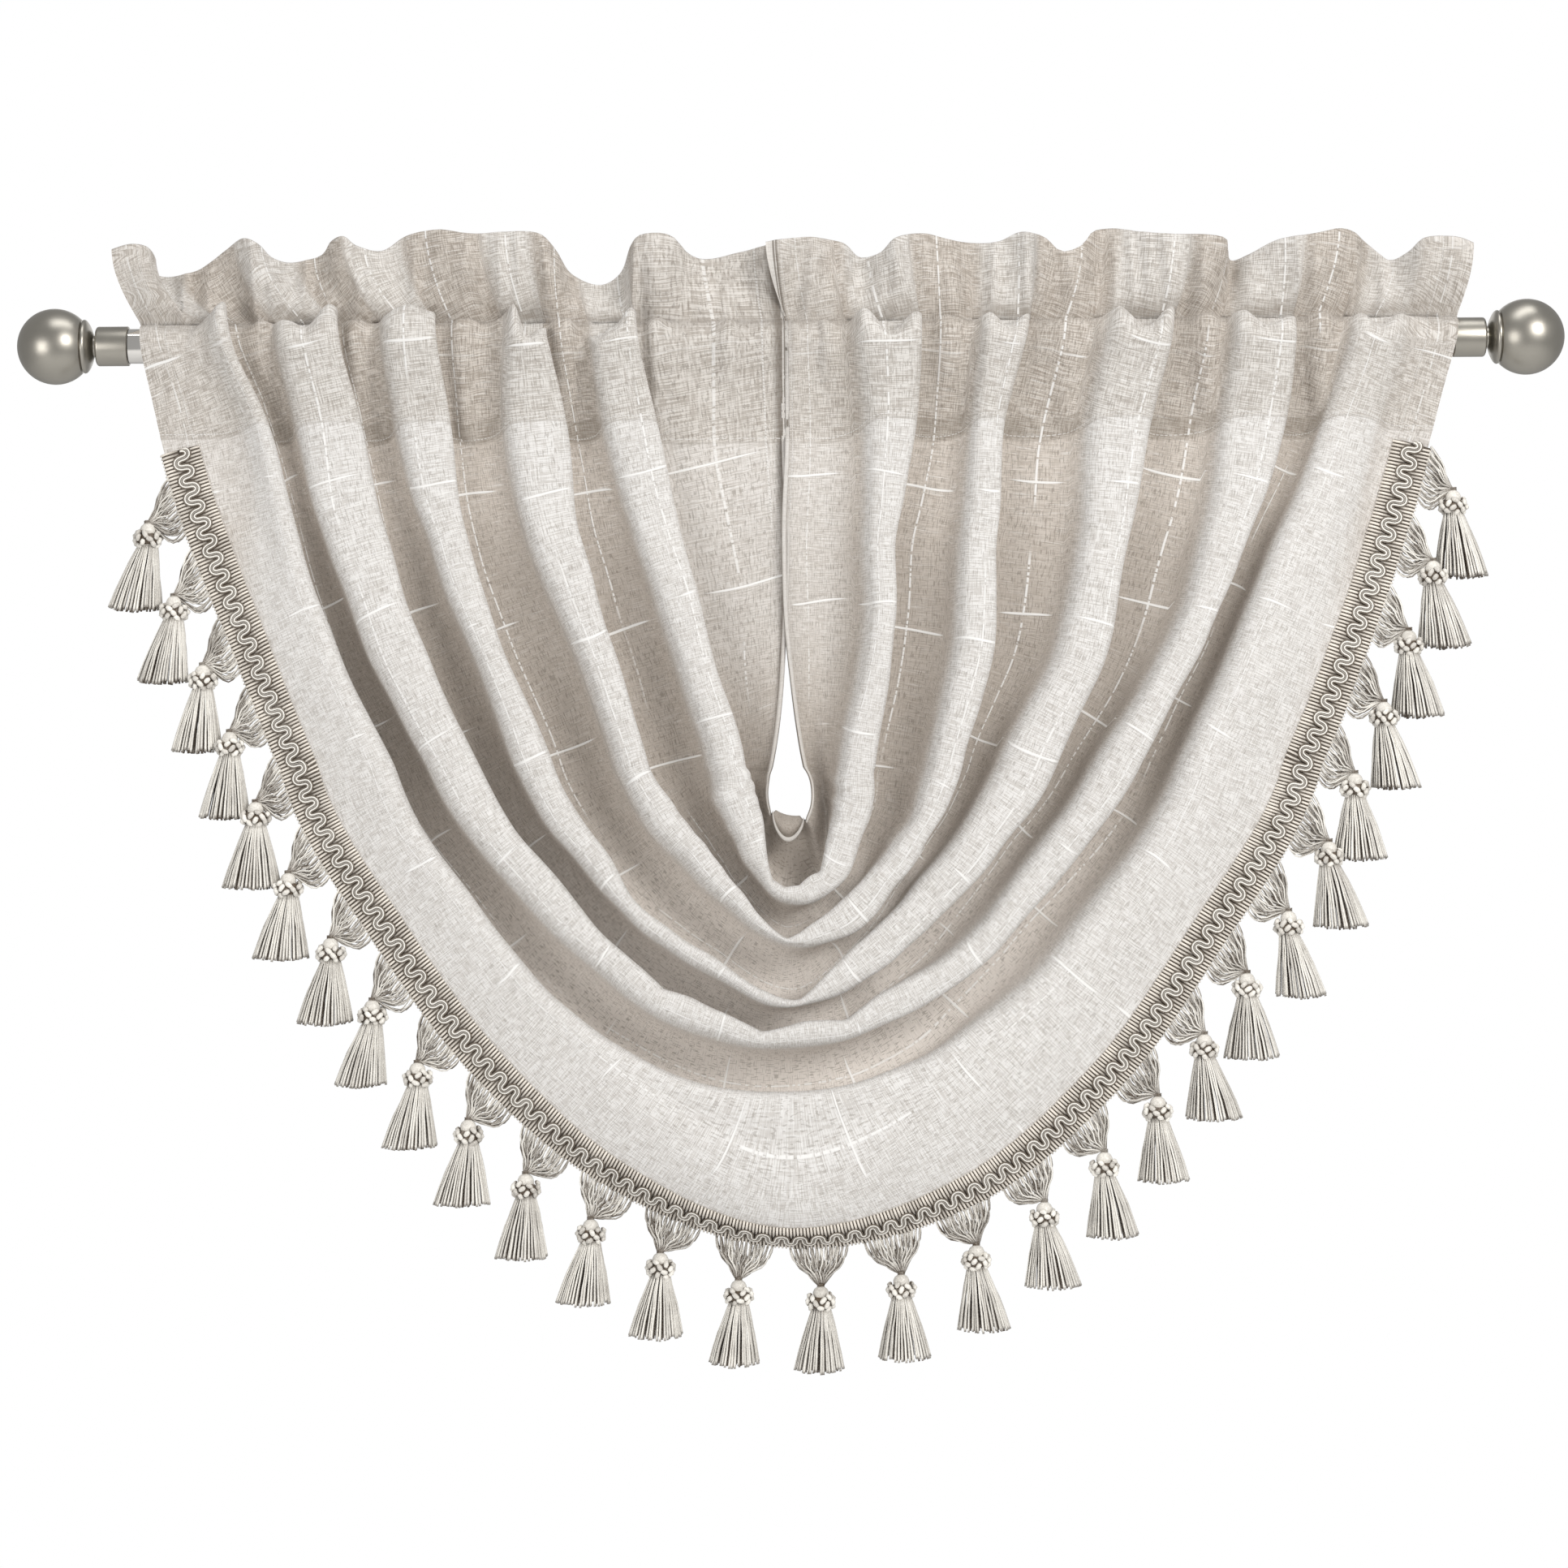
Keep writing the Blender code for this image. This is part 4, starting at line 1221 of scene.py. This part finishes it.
# %% Braid tape and cords
TAPE_STEP = 2.4
TAPE_PROFILE = (
    # share of the way across from the outer edge, height of the front
    (0.00, 0.9), (0.03, 1.5), (0.27, 1.7), (0.50, 1.6), (0.73, 1.7), (0.97, 1.5), (1.00, 0.9),
)
TAPE_BACK = tuple((share, 0.45) for share in (1.0, 0.67, 0.33, 0.0))
TAPE_MARGIN = 0.6
RIB_PITCH, RIB_RADIUS, RIB_LEAN, RIB_SLACK = 2.9, 0.90, 0.9, 0.5
RIB_SHAPE = (
    # share of the rib's length, height, thickness, share of its lightness
    (0.00, 0.4, 0.75, 1.00), (0.04, 1.7, 1.05, 1.00), (0.30, 2.5, 1.05, 1.00),
    (0.55, 2.1, 1.00, 0.85), (0.80, 1.7, 0.90, 0.60), (1.00, 1.4, 0.80, 0.40),
)
MEANDER, MEANDER_STEPS = 15.0, 20
SWING = 1.5
CORD_SPACING = 1.6
CORD_LINE, CORD_HEIGHT = 14.0, 3.5
# The dim and the dark cords stand for the shaded gaps beside the pale ones: painted shade.
CORDS = (
    # place in the row, radius, how pale
    (-0.95, 0.70, 1.0), (0, 0.55, 0.25), (0.95, 0.70, 1.0), (-1.72, 0.50, 0.0), (1.72, 0.50, 0.0),
)


def scatter(index, salt):
    """Repeatable number from 0 to 1."""
    return math.fmod(abs(math.sin(index * 12.9898 + salt * 78.233) * 43758.5453), 1.0)


def skin(store, first, rows, size):
    """Close rows of `size` points each, from point `first` on, into a tube."""
    faces = store[1]
    for a in range(first, first + (rows - 1) * size, size):
        for step in range(size):
            other = (step + 1) % size
            faces.append((a + step, a + other, a + size + other, a + size + step))
    return faces


def tube(points, radius, sides, tone, store, taper=None):
    """Add a tube along points to a store of (points, faces, tones).

    `tone` is one number, or one for each point.
    """
    all_points, _, tones = store
    first = len(all_points)
    count = len(points)
    for index, point in enumerate(points):
        ahead = points[min(index + 1, count - 1)] - points[max(index - 1, 0)]
        ahead.normalize()
        side = ahead.cross(Vector((0.13, 0.97, 0.21))).normalized()
        up = ahead.cross(side)
        thick = radius * (taper[index] if taper else 1.0)
        for step in range(sides):
            angle = 2.0 * math.pi * step / sides
            around = side * (thick * math.cos(angle))
            all_points.append(point + around + up * (thick * math.sin(angle)))
            tones.append(tone[index] if isinstance(tone, tuple) else tone)
    faces = skin(store, first, count, sides)
    faces.append(tuple(first + step for step in reversed(range(sides))))
    faces.append(tuple(first + (count - 1) * sides + step for step in range(sides)))


def build_tape():
    store = points, faces, tones = [], [], []
    rows = int(edge_length / TAPE_STEP) + 1
    section = TAPE_PROFILE + TAPE_BACK
    size = len(section)
    for row in range(rows):
        for share, height in section:
            aside = lerp(TAPE_MARGIN, BRAID_WIDTH - TAPE_MARGIN, share) - BRAID_OVERLAP
            points.append(on_edge(row * TAPE_STEP, aside, height))
        tones.extend([0.0] * len(TAPE_PROFILE) + [0.5] * len(TAPE_BACK))
    skin(store, 0, rows, size)
    faces.append(tuple(range(size)))
    faces.append(tuple((rows - 1) * size + step for step in reversed(range(size))))
    far_side = BRAID_WIDTH - BRAID_OVERLAP
    for rib in range(int((edge_length - 2.0) / RIB_PITCH)):
        for side, start, end in ((-1, -BRAID_OVERLAP, 12.2), (1, far_side, 15.8)):
            start += RIB_SLACK * (scatter(rib, side + 5) - 0.5) * side
            tone = 0.72 + 0.28 * scatter(rib, side + 9)
            path = []
            for part, height, _, _ in RIB_SHAPE:
                length = 1.2 + rib * RIB_PITCH + RIB_LEAN * part * side
                length = clamp(length, 0.2, edge_length - 0.2)
                path.append(on_edge(length, lerp(start, end, part), height))
            tube(
                path, RIB_RADIUS, 5, tuple(share * tone for _, _, _, share in RIB_SHAPE), store,
                taper=[thick for _, _, thick, _ in RIB_SHAPE],
            )
    return store


def meander():
    """The cords' centre line, as lengths along the edge and swings aside."""
    bends = int(edge_length / MEANDER)
    headings = [
        SWING * math.cos(2.0 * math.pi * (step + 0.5) / MEANDER_STEPS)
        for step in range(MEANDER_STEPS)
    ]
    stride = edge_length / bends / sum(math.cos(heading) for heading in headings)
    line = [(0.0, 0.0)]
    for heading in headings * bends:
        along, aside = line[-1]
        line.append((along + stride * math.cos(heading), aside + stride * math.sin(heading)))
    return line


def build_cords():
    """Two pale cords on a dim one, between two dark ones, swinging to and fro; dim and dark are
    painted shade.
    """
    store = ([], [], [])
    line = meander()
    for cord, radius, tone in CORDS:
        path = []
        for (x0, y0), (along, aside), (x1, y1) in zip(line[:1] + line, line, line[1:] + line[-1:]):
            shift = cord * CORD_SPACING / math.hypot(x1 - x0, y1 - y0)
            along = clamp(along - (y1 - y0) * shift, 0.4, edge_length - 0.4)
            aside = CORD_LINE + aside + (x1 - x0) * shift
            path.append(on_edge(along, aside, CORD_HEIGHT - 0.25 * abs(cord)))
        tube(path, radius, 6, tone, store)
    return store


tape_store, cord_store = build_tape(), build_cords()
print("tape and cords:", [2 * len(faces) for _, faces, _ in (tape_store, cord_store)], "triangles")


# %% [markdown]
# Yarn is shiny along its length and dark between its strands.  A group gives
# both the braid and the tassels their uneven dye and fine twist.  The twist
# also darkens the colour as painted shade between the strands, and each
# point's stored tone carries painted shade where yarn lies in shade.

# %% Yarn materials
def build_yarn():
    nodes, source = new_group(
        "dyed_and_shaded_yarn", Position=None, Tone=0.5, Twist=900.0,
        Light=(0.7, 0.66, 0.6), Dark=(0.35, 0.31, 0.26),
    )
    where = source["Position"]
    blotch = nodes.add("TexNoise", {"Vector": where, "Scale": 55.0}).outputs["Fac"]
    fine = nodes.add("TexNoise", {"Vector": where, "Scale": source["Twist"], "Detail": 1.0})
    fine = fine.outputs["Fac"]
    share = nodes.plus(source["Tone"], nodes.around_zero(blotch, 0.5))
    share = nodes.calc("ADD", share, nodes.around_zero(fine, 0.5), limit=True)
    nodes.result(Color=nodes.mix(share, source["Dark"], source["Light"]), Height=fine)


def object_place(nodes):
    return nodes.add("TexCoord").outputs["Object"]


def yarn_material(name, light, dark, roughness, sheen, twist):
    made, nodes, shader, _ = new_material(name)
    yarn = nodes.use(
        "dyed_and_shaded_yarn", Position=object_place(nodes), Tone=nodes.attribute("tone"),
        Light=light, Dark=dark, Twist=twist,
    )
    nodes.fill(shader, {
        "Base Color": yarn["Color"], "Roughness": roughness, "Sheen Weight": sheen,
        "Specular IOR Level": 0.5, "Normal": nodes.bump(yarn["Height"], 0.35, 0.0003),
    })
    return made


def yarn_piece(name, store, material):
    points, faces, tones = store
    return new_piece(name, points, faces, {"tone": tones}, material)


build_yarn()
braid_yarn, cord_yarn, tassel_yarn = (
    yarn_material(name, *looks) for name, *looks in (
        # name, light, dark, roughness, sheen, how fine the twist is
        ("braid_yarn", (0.88, 0.82, 0.735), (0.08, 0.06, 0.042), 0.62, 0.2, 1100.0),
        ("cord_yarn", (0.88, 0.85, 0.79), (0.14, 0.11, 0.08), 0.42, 0.1, 1300.0),
        ("tassel_yarn", (0.95, 0.92, 0.855), (0.10, 0.07, 0.045), 0.40, 0.1, 700.0),
    )
)
tape = yarn_piece("braid_tape", tape_store, braid_yarn)
cords = yarn_piece("braid_cords", cord_store, cord_yarn)
print("yarns:", braid_yarn.name, cord_yarn.name, tassel_yarn.name)


# %% [markdown]
# Each tassel hangs from a small net of yarn that gathers to a neck, with a
# darker layer of it behind as painted shade.  Below the neck sit a round cap,
# a ring of plump stitches like a knot over a dark core of painted shade, and
# the skirt of cut yarn, its inner strands painted dark as shade.  A skirt is
# about ninety strands with three sides each, so that all of them together
# stay light.

# %% Tassels
TASSEL_COUNT = 29
TASSEL_INSET_LEFT = 42.5
TASSEL_INSET_RIGHT = 20.5
FAN_HALF_WIDTH = 23.0
FAN_STRANDS, FAN_STEPS = 25, 8
# The third layer is dark, as painted shade among the strands.
NET_LAYERS = (
    # height on the braid, depth at the neck, least lightness, its spread
    (0.9, 1.2, 0.35, 0.6), (2.2, -1.0, 0.35, 0.6), (1.4, 0.2, 0.08, 0.3),
)
SKIRT_LENGTH = 58.0
SKIRT_RADIUS = 21.5
SKIRT_TOP_RADIUS = 7.2
OUTER_STRANDS = 44
INNER_STRANDS = 44
BOBBLES = 25
NECK_ASIDE, NECK_DROP, NECK_DROP_BELOW = 22.0, 12.0, 17.0
KNOT_DROP, SKIRT_DROP = 12.5, 5.5
NET_YARN, OUTER_YARN, INNER_YARN = 0.74, 0.96, 0.8
BALL_RINGS, BALL_SIDES = 7, 12
GOLDEN_ANGLE = 2.399963


def around(angle, radius, height=0.0):
    return Vector((radius * math.cos(angle), radius * math.sin(angle), height))


def add_ball(centre, radius, tone, store, squash=(1.0, 1.0, 1.0)):
    """Add a ball, squashed along its three axes, to a store."""
    points, faces, tones = store
    first = len(points)
    for ring in range(BALL_RINGS + 1):
        polar = math.pi * ring / BALL_RINGS
        for side in range(BALL_SIDES if 0 < ring < BALL_RINGS else 1):
            spot = around(2.0 * math.pi * side / BALL_SIDES, math.sin(polar), math.cos(polar))
            points.append(centre + spot * Vector(squash) * radius)
    last = len(points) - 1
    for side in range(BALL_SIDES):
        other = (side + 1) % BALL_SIDES
        faces.append((first, first + 1 + side, first + 1 + other))
        for a in range(first + 1, last - BALL_SIDES, BALL_SIDES):
            faces.append((a + side, a + BALL_SIDES + side, a + BALL_SIDES + other, a + other))
        faces.append((last - BALL_SIDES + side, last, last - BALL_SIDES + other))
    tones.extend([tone] * (last - first + 1))


def hang_net(store, number, length, neck):
    """Strands from the braid to the neck in three crossing layers.

    Those on the lower side of a slanting edge are slack and hang in loops.
    """
    along = (on_edge(length + 8.0) - on_edge(length - 8.0)).normalized()
    for layer, (height, behind, least, more) in enumerate(NET_LAYERS):
        for strand in range(FAN_STRANDS):
            share = strand / (FAN_STRANDS - 1) * 2.0 - 1.0
            lower = clamp(-share * along.z)
            start = share + (0.07 if layer else -0.07) * math.sin(strand * 1.7)
            start = clamp(length + start * FAN_HALF_WIDTH, 0.5, edge_length - 0.5)
            top = on_edge(start, -BRAID_OVERLAP + 1.6, height)
            end = neck + Vector((1.9 * share * abs(along.x), behind, -0.5 - 1.6 * share * along.z))
            drop = 1.5 + 9.0 * lower * (0.5 + 0.5 * scatter(strand + number * 7, 21))
            path = []
            for step in range(FAN_STEPS + 1):
                t = step / FAN_STEPS
                bow = math.sin(math.pi * t)
                swerve = 1.3 * bow * math.sin(3.0 * math.pi * t + strand * 2.1 + layer * math.pi)
                swerve += share * 3.0 * math.sin(math.pi * min(t * 1.5, 1.0))
                forth = 1.2 * bow * math.sin(strand * 2.3 + layer * 3.0)
                spot = top.lerp(end, t) + along * swerve
                path.append(spot + Vector((0.0, -forth, -drop * bow ** 0.85)))
            light = least + more * scatter(strand + number * 31, 3 + layer)
            # Each strand is painted darker toward the neck, as shade where strands gather.
            tube(path, NET_YARN, 3, (light,) * 6 + (light * 0.8, light * 0.5, 0.1), store)
    for turn in range(3):
        ring = [
            neck + around(2.0 * math.pi * step / 12, 2.5, -0.4 - 1.3 * turn + 0.1 * step)
            for step in range(13)
        ]
        tube(ring, 0.75, 4, 0.12, store)


def tie_knot(store, number, centre):
    """A small round cap over a ring of plump stitches with a dark core; core and stitch ends are
    painted shade.
    """
    # The dark core is painted shade between the stitches.
    add_ball(centre + Vector((0, 0, -1.5)), 8.2, 0.0, store, (1.15, 1.0, 0.82))
    add_ball(centre + Vector((0, 0, 5.2)), 6.6, 0.75, store)
    for bobble in range(BOBBLES):
        up = 0.62 - 1.42 * (bobble + 0.5) / BOBBLES
        angle = GOLDEN_ANGLE * bobble + number * 1.3
        normal = around(angle, math.sqrt(1.0 - up * up), up)
        radius = 9.0 + 0.8 * (scatter(bobble + number * 17, 6) - 0.5)
        spot = centre + normal * Vector((1.15, 1.0, 0.9)) * radius - Vector((0, 0, 0.8))
        level = around(angle + math.pi / 2.0, 1.0)
        tilt = (0.9 if bobble % 2 else -0.7) + 0.8 * (scatter(bobble + number * 5, 7) - 0.5)
        ahead = level * math.cos(tilt) + normal.cross(level) * math.sin(tilt)
        length = 2.5 + 0.9 * scatter(bobble + number * 3, 8)
        path = [
            spot + ahead * (length * share) + normal * (0.5 - 1.3 * share * share)
            for share in (-1.0, -0.72, 0.0, 0.72, 1.0)
        ]
        light = 0.55 + 0.45 * scatter(bobble + number * 11, 9)
        # Each stitch is darker at its ends, as painted shade where it tucks in.
        tones = (0.1, light, light, light, 0.1)
        tube(path, 2.0, 7, tones, store, taper=(0.45, 0.85, 1.05, 0.85, 0.45))


def hang_skirt(store, number, centre, outward):
    """Cut yarn that hangs from under the knot, paler outside than inside; the dark inner strands
    are painted shade.
    """
    sway = Vector((outward * 9.0 + 7.0 * (scatter(number, 11) - 0.5), 10.0, -SKIRT_LENGTH))
    spread_by = SKIRT_RADIUS * (0.93 + 0.14 * scatter(number, 17))
    for strand in range(OUTER_STRANDS + INNER_STRANDS):
        light = scatter(strand + number * 29, 15)
        if strand < OUTER_STRANDS:
            turn = strand + 0.7 * scatter(strand + number * 19, 16)
            angle = 2.0 * math.pi * turn / OUTER_STRANDS
            ring = 1.0 - 0.07 * scatter(strand + number * 13, 12)
            light, thick = 0.66 + 0.34 * light, OUTER_YARN
        else:
            angle = GOLDEN_ANGLE * strand
            ring = math.sqrt((strand - OUTER_STRANDS + 0.5) / INNER_STRANDS) * 0.86
            # Inner strands are painted near black, as the shade inside the skirt.
            light, thick = 0.01 + 0.22 * light * ring, INNER_YARN
        hem = 2.6 * (scatter(strand + number * 3, 13) - 0.5)
        hem += 2.2 * ring * ring * abs(math.cos(angle))
        top = centre + around(angle, SKIRT_TOP_RADIUS * ring, -SKIRT_DROP)
        end = centre + sway + around(angle, ring * spread_by, hem) * Vector((1.0, 0.8, 1.0))
        wave = 1.5 * (scatter(strand + number, 14) - 0.5)
        path = []
        for t in (0.0, 0.10, 0.28, 0.50, 0.72, 0.95, 1.0):
            spread = 0.75 * t + 0.25 * math.sin(math.pi * t / 2.0)
            spot = top.lerp(end, spread)
            spot.z = lerp(top.z, end.z, t)
            swing = math.sin(math.pi * t * 2.3 + strand) * math.sin(math.pi * min(t * 1.3, 1.0))
            path.append(spot + Vector((wave * swing, wave * math.cos(strand) * swing, 0)))
        # Each strand is darker at its top under the knot, as painted shade, and at its tip.
        tones = (light * 0.5,) + (light,) * 5 + (light * 0.3,)
        tube(path, thick, 3, tones, store, taper=(0.6, 0.8, 0.9, 1.0, 1.05, 1.15, 1.2))


def build_tassel(number, length):
    store = ([], [], [])
    anchor = on_edge(length, -BRAID_OVERLAP - 0.5, 1.2)
    inward = on_edge(length, 15.0) - on_edge(length)
    inward = Vector((inward.x, 0.0, inward.z)).normalized()
    drop = NECK_DROP + NECK_DROP_BELOW * inward.z ** 2
    neck = anchor + Vector((-NECK_ASIDE * inward.x, 0.0, -drop))
    neck += Vector((1.2 * (scatter(number, 1) - 0.5), 0, 3.0 * (scatter(number, 2) - 0.5)))
    centre = neck - Vector((0, 0, KNOT_DROP))
    hang_net(store, number, length, neck)
    tie_knot(store, number, centre)
    hang_skirt(store, number, centre, -inward.x)
    return yarn_piece("yarn_tassel_%02d" % number, store, tassel_yarn)


spacing = (edge_length - TASSEL_INSET_LEFT - TASSEL_INSET_RIGHT) / (TASSEL_COUNT - 1)
tassels = [
    build_tassel(index + 1, TASSEL_INSET_LEFT + spacing * index) for index in range(TASSEL_COUNT)
]
print("one tassel:", sum(len(face.vertices) - 2 for face in tassels[0].data.polygons), "triangles")


# %% [markdown]
# The rod and its ends are turned metal.  A lathe shape is easiest as a
# half outline spun once round its axis, so one helper does all of them.
# Operators work on whatever is selected, so everything is deselected first.

# %% Turned pieces
def deselect():
    if bpy.context.object and bpy.context.object.mode != "OBJECT":
        bpy.ops.object.mode_set(mode="OBJECT")
    bpy.ops.object.select_all(action="DESELECT")


def turned(name, outline, steps=96):
    """Spin an outline of (x, radius) in millimetres round the rod's axis."""
    deselect()
    bpy.ops.mesh.primitive_plane_add(size=0.01)
    made = bpy.context.object
    made.name = made.data.name = name
    mesh = bmesh.new()
    verts = [mesh.verts.new((x * MM, 0.0, radius * MM)) for x, radius in outline]
    for start, end in zip(verts, verts[1:]):
        mesh.edges.new((start, end))
    made.data.clear_geometry()
    mesh.to_mesh(made.data)
    mesh.free()
    bpy.ops.object.mode_set(mode="EDIT")
    bpy.ops.mesh.select_all(action="SELECT")
    bpy.ops.mesh.spin(steps=steps, angle=2.0 * math.pi, center=(0, 0, 0), axis=(1, 0, 0))
    bpy.ops.mesh.select_all(action="SELECT")
    bpy.ops.mesh.remove_doubles(threshold=0.00001)
    bpy.ops.mesh.normals_make_consistent(inside=False)
    bpy.ops.object.mode_set(mode="OBJECT")
    bpy.ops.object.shade_smooth_by_angle(angle=math.radians(32))
    return made


def rounded(x, radius, toward, size, steps=5):
    """Quarter round at an outer corner of a turned outline, going outward in x."""
    outline = []
    for step in range(steps + 1):
        angle = math.pi / 2 * step / steps
        away, down = size * (1.0 - math.sin(angle)), size * (1.0 - math.cos(angle))
        outline.append((x - toward * away, radius - down))
    return outline


ROD_LEFT, ROD_RIGHT, ROD_RADIUS = -523.7, 534.7, 14.0
COLLAR_LENGTH, COLLAR_RADIUS, COLLAR_ROUND = 26.0, 15.8, 2.2
NECK_RADIUS, CAP_LENGTH = 8.5, 10.0
BALL_RADIUS, BALL_SEAT = 30.3, 21.5


def end_collar(side, inner, toward):
    outer = inner + toward * COLLAR_LENGTH
    return turned("sleeve_" + side, (
        [(inner, 14.05), (inner, 15.0), (inner + toward * 0.8, COLLAR_RADIUS)]
        + rounded(outer, COLLAR_RADIUS, toward, COLLAR_ROUND) + [(outer, 0.0)]
    ))


def end_ball(side, start, toward):
    """A ball on a flared cap with a short neck."""
    shape = [(0.0, 0.0), (0.0, NECK_RADIUS), (1.9, NECK_RADIUS), (2.6, 10.5)]
    for step in range(8):
        t = step / 7
        shape.append((lerp(2.9, 9.3, t), 11.5 + 10.0 * math.sin(t * math.pi / 2) ** 0.9))
    for ahead, radius in ((0.0, 21.3), (0.2, 20.0), (0.8, 19.2), (1.6, 20.2)):
        shape.append((CAP_LENGTH + ahead, radius))
    centre = CAP_LENGTH + 1.6 + math.sqrt(BALL_RADIUS ** 2 - BALL_SEAT ** 2)
    widest = math.pi - math.asin(BALL_SEAT / BALL_RADIUS)
    for step in range(40):
        angle = lerp(widest, 0.0, step / 40)
        shape.append((centre + BALL_RADIUS * math.cos(angle), BALL_RADIUS * math.sin(angle)))
    shape.append((centre + BALL_RADIUS, 0.0))
    return turned("ball_finial_" + side, [(start + toward * x, radius) for x, radius in shape])


rod = turned("polished_rod", [
    (ROD_LEFT, 0.0), (ROD_LEFT, ROD_RADIUS), (ROD_RIGHT, ROD_RADIUS), (ROD_RIGHT, 0.0),
])
ends = []
for side, inner, toward in (("left", ROD_LEFT - 0.3, -1.0), ("right", ROD_RIGHT + 0.3, 1.0)):
    ball_start = inner + toward * (COLLAR_LENGTH + 0.3)
    ends.append((side, end_collar(side, inner, toward), end_ball(side, ball_start, toward)))
print("turned:", [item.name for _, *pair in ends for item in pair])


# %% [markdown]
# Two metals: the rod is polished and mirrors the room, and its ends are
# cast, tumbled and dulled.  Both take the same group for faint handling
# marks, each with its own strength.

# %% Metal materials
def build_marks():
    nodes, source = new_group("handling_marks", Position=None, Amount=0.1)
    where, amount = source["Position"], source["Amount"]
    cloud = nodes.add("TexNoise", {"Vector": where, "Scale": 60.0, "Detail": 4.0}).outputs["Fac"]
    grain = nodes.add("TexNoise", {"Vector": where, "Scale": 1800.0}).outputs["Fac"]
    nodes.result(
        Roughness=nodes.times(nodes.plus(cloud, -0.5), amount),
        Height=nodes.times(grain, amount), Tint=cloud,
    )


def metal_material(name, light, dark, roughness, marks):
    made, nodes, shader, _ = new_material(name)
    wear = nodes.use("handling_marks", Position=object_place(nodes), Amount=marks)
    nodes.fill(shader, {
        "Base Color": nodes.mix(wear["Tint"], dark, light),
        "Roughness": nodes.plus(wear["Roughness"], roughness), "Metallic": 1.0,
        "Normal": nodes.bump(wear["Height"], 0.15, 0.0001),
    })
    return made


build_marks()
polished = metal_material("polished_nickel", (0.80, 0.78, 0.75), (0.72, 0.70, 0.66), 0.08, 0.04)
pewter = metal_material("satin_pewter", (0.42, 0.40, 0.355), (0.36, 0.34, 0.30), 0.36, 0.12)
rod.data.materials.append(polished)
for _, collar, finial in ends:
    collar.data.materials.append(pewter)
    finial.data.materials.append(pewter)
print("metals:", polished.name, pewter.name)


# %% [markdown]
# The model is hung over a pale floor.  Large soft lamps at the front give the
# even light of a studio, with the stronger one on the right, one from above
# picks out the crests of the folds, and a weak one lights the back.

# %% Floor, lights and camera
MIDDLE = (0.0, 0.0, -0.35)


def build_floor():
    deselect()
    bpy.ops.mesh.primitive_plane_add(size=9.0, location=(0, 0, -1.9))
    made = bpy.context.object
    made.name = "floor"
    material, nodes, shader, _ = new_material("pale_floor")
    nodes.fill(shader, {"Base Color": (0.92, 0.92, 0.92), "Roughness": 0.9})
    made.data.materials.append(material)
    return made


def lamp(name, place_at, size, power, tint=(1, 1, 1)):
    light = bpy.data.lights.new(name, "AREA")
    light.shape = "RECTANGLE"
    light.size, light.size_y = size
    light.energy = power
    light.color = tint
    made = bpy.data.objects.new(name, light)
    made.location = place_at
    toward = Vector(MIDDLE) - Vector(place_at)
    made.rotation_euler = toward.to_track_quat("-Z", "Y").to_euler()
    bpy.context.scene.collection.objects.link(made)


floor = build_floor()
lamp("key", (2.0, -2.9, 1.1), (1.5, 1.5), 84.0, (1.0, 0.985, 0.965))
lamp("fill", (-2.2, -2.7, -0.3), (1.6, 1.6), 33.0, (1.0, 0.985, 0.97))
lamp("top", (0.2, -0.5, 2.2), (2.2, 0.9), 20.0)
lamp("back", (0.0, 2.4, 0.4), (2.4, 1.6), 10.0)


def build_world():
    """White behind the model, and a dimmer white all round to light it."""
    world = bpy.data.worlds.new("studio")
    world.use_nodes = True
    nodes, old = Nodes(world.node_tree), world.node_tree.nodes
    white = (1.0, 1.0, 1.0)
    around_it = nodes.fill(old["Background"], {"Color": white, "Strength": 0.42})
    behind = nodes.add("Background", {"Color": white, "Strength": 1.0})
    seen = nodes.add("LightPath").outputs["Is Camera Ray"]
    pick = nodes.add("MixShader", (seen, around_it.outputs[0], behind.outputs[0]))
    nodes.put(old["World Output"].inputs["Surface"], pick.outputs[0])
    return world


bpy.context.scene.world = build_world()
bpy.context.scene.view_settings.view_transform = "Standard"

camera_data = bpy.data.cameras.new("camera")
camera_data.sensor_width = 36.0
camera_data.lens = 97.5
camera = bpy.data.objects.new("camera", camera_data)
camera.location = (-0.0024, -3.4, -0.354)
camera.rotation_euler = (math.radians(90.0), math.radians(0.395), 0.0)
camera.rotation_mode = "XYZ"
bpy.context.scene.collection.objects.link(camera)
bpy.context.scene.camera = camera
print("camera at", tuple(camera.location))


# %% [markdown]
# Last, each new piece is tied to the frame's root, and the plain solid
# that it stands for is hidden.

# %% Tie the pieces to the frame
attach(cloth, "root")
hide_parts("swag_cloth")
for piece in (tape, cords):
    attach(piece, "root")
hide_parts("edge_braid")
for index, piece in enumerate(tassels):
    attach(piece, "root")
    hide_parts("tassel_%02d" % (index + 1))
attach(rod, "root")
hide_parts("rod")
for side, collar, finial in ends:
    for piece, node in ((collar, "collar_" + side), (finial, "finial_" + side)):
        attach(piece, "root")
        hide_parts(node)
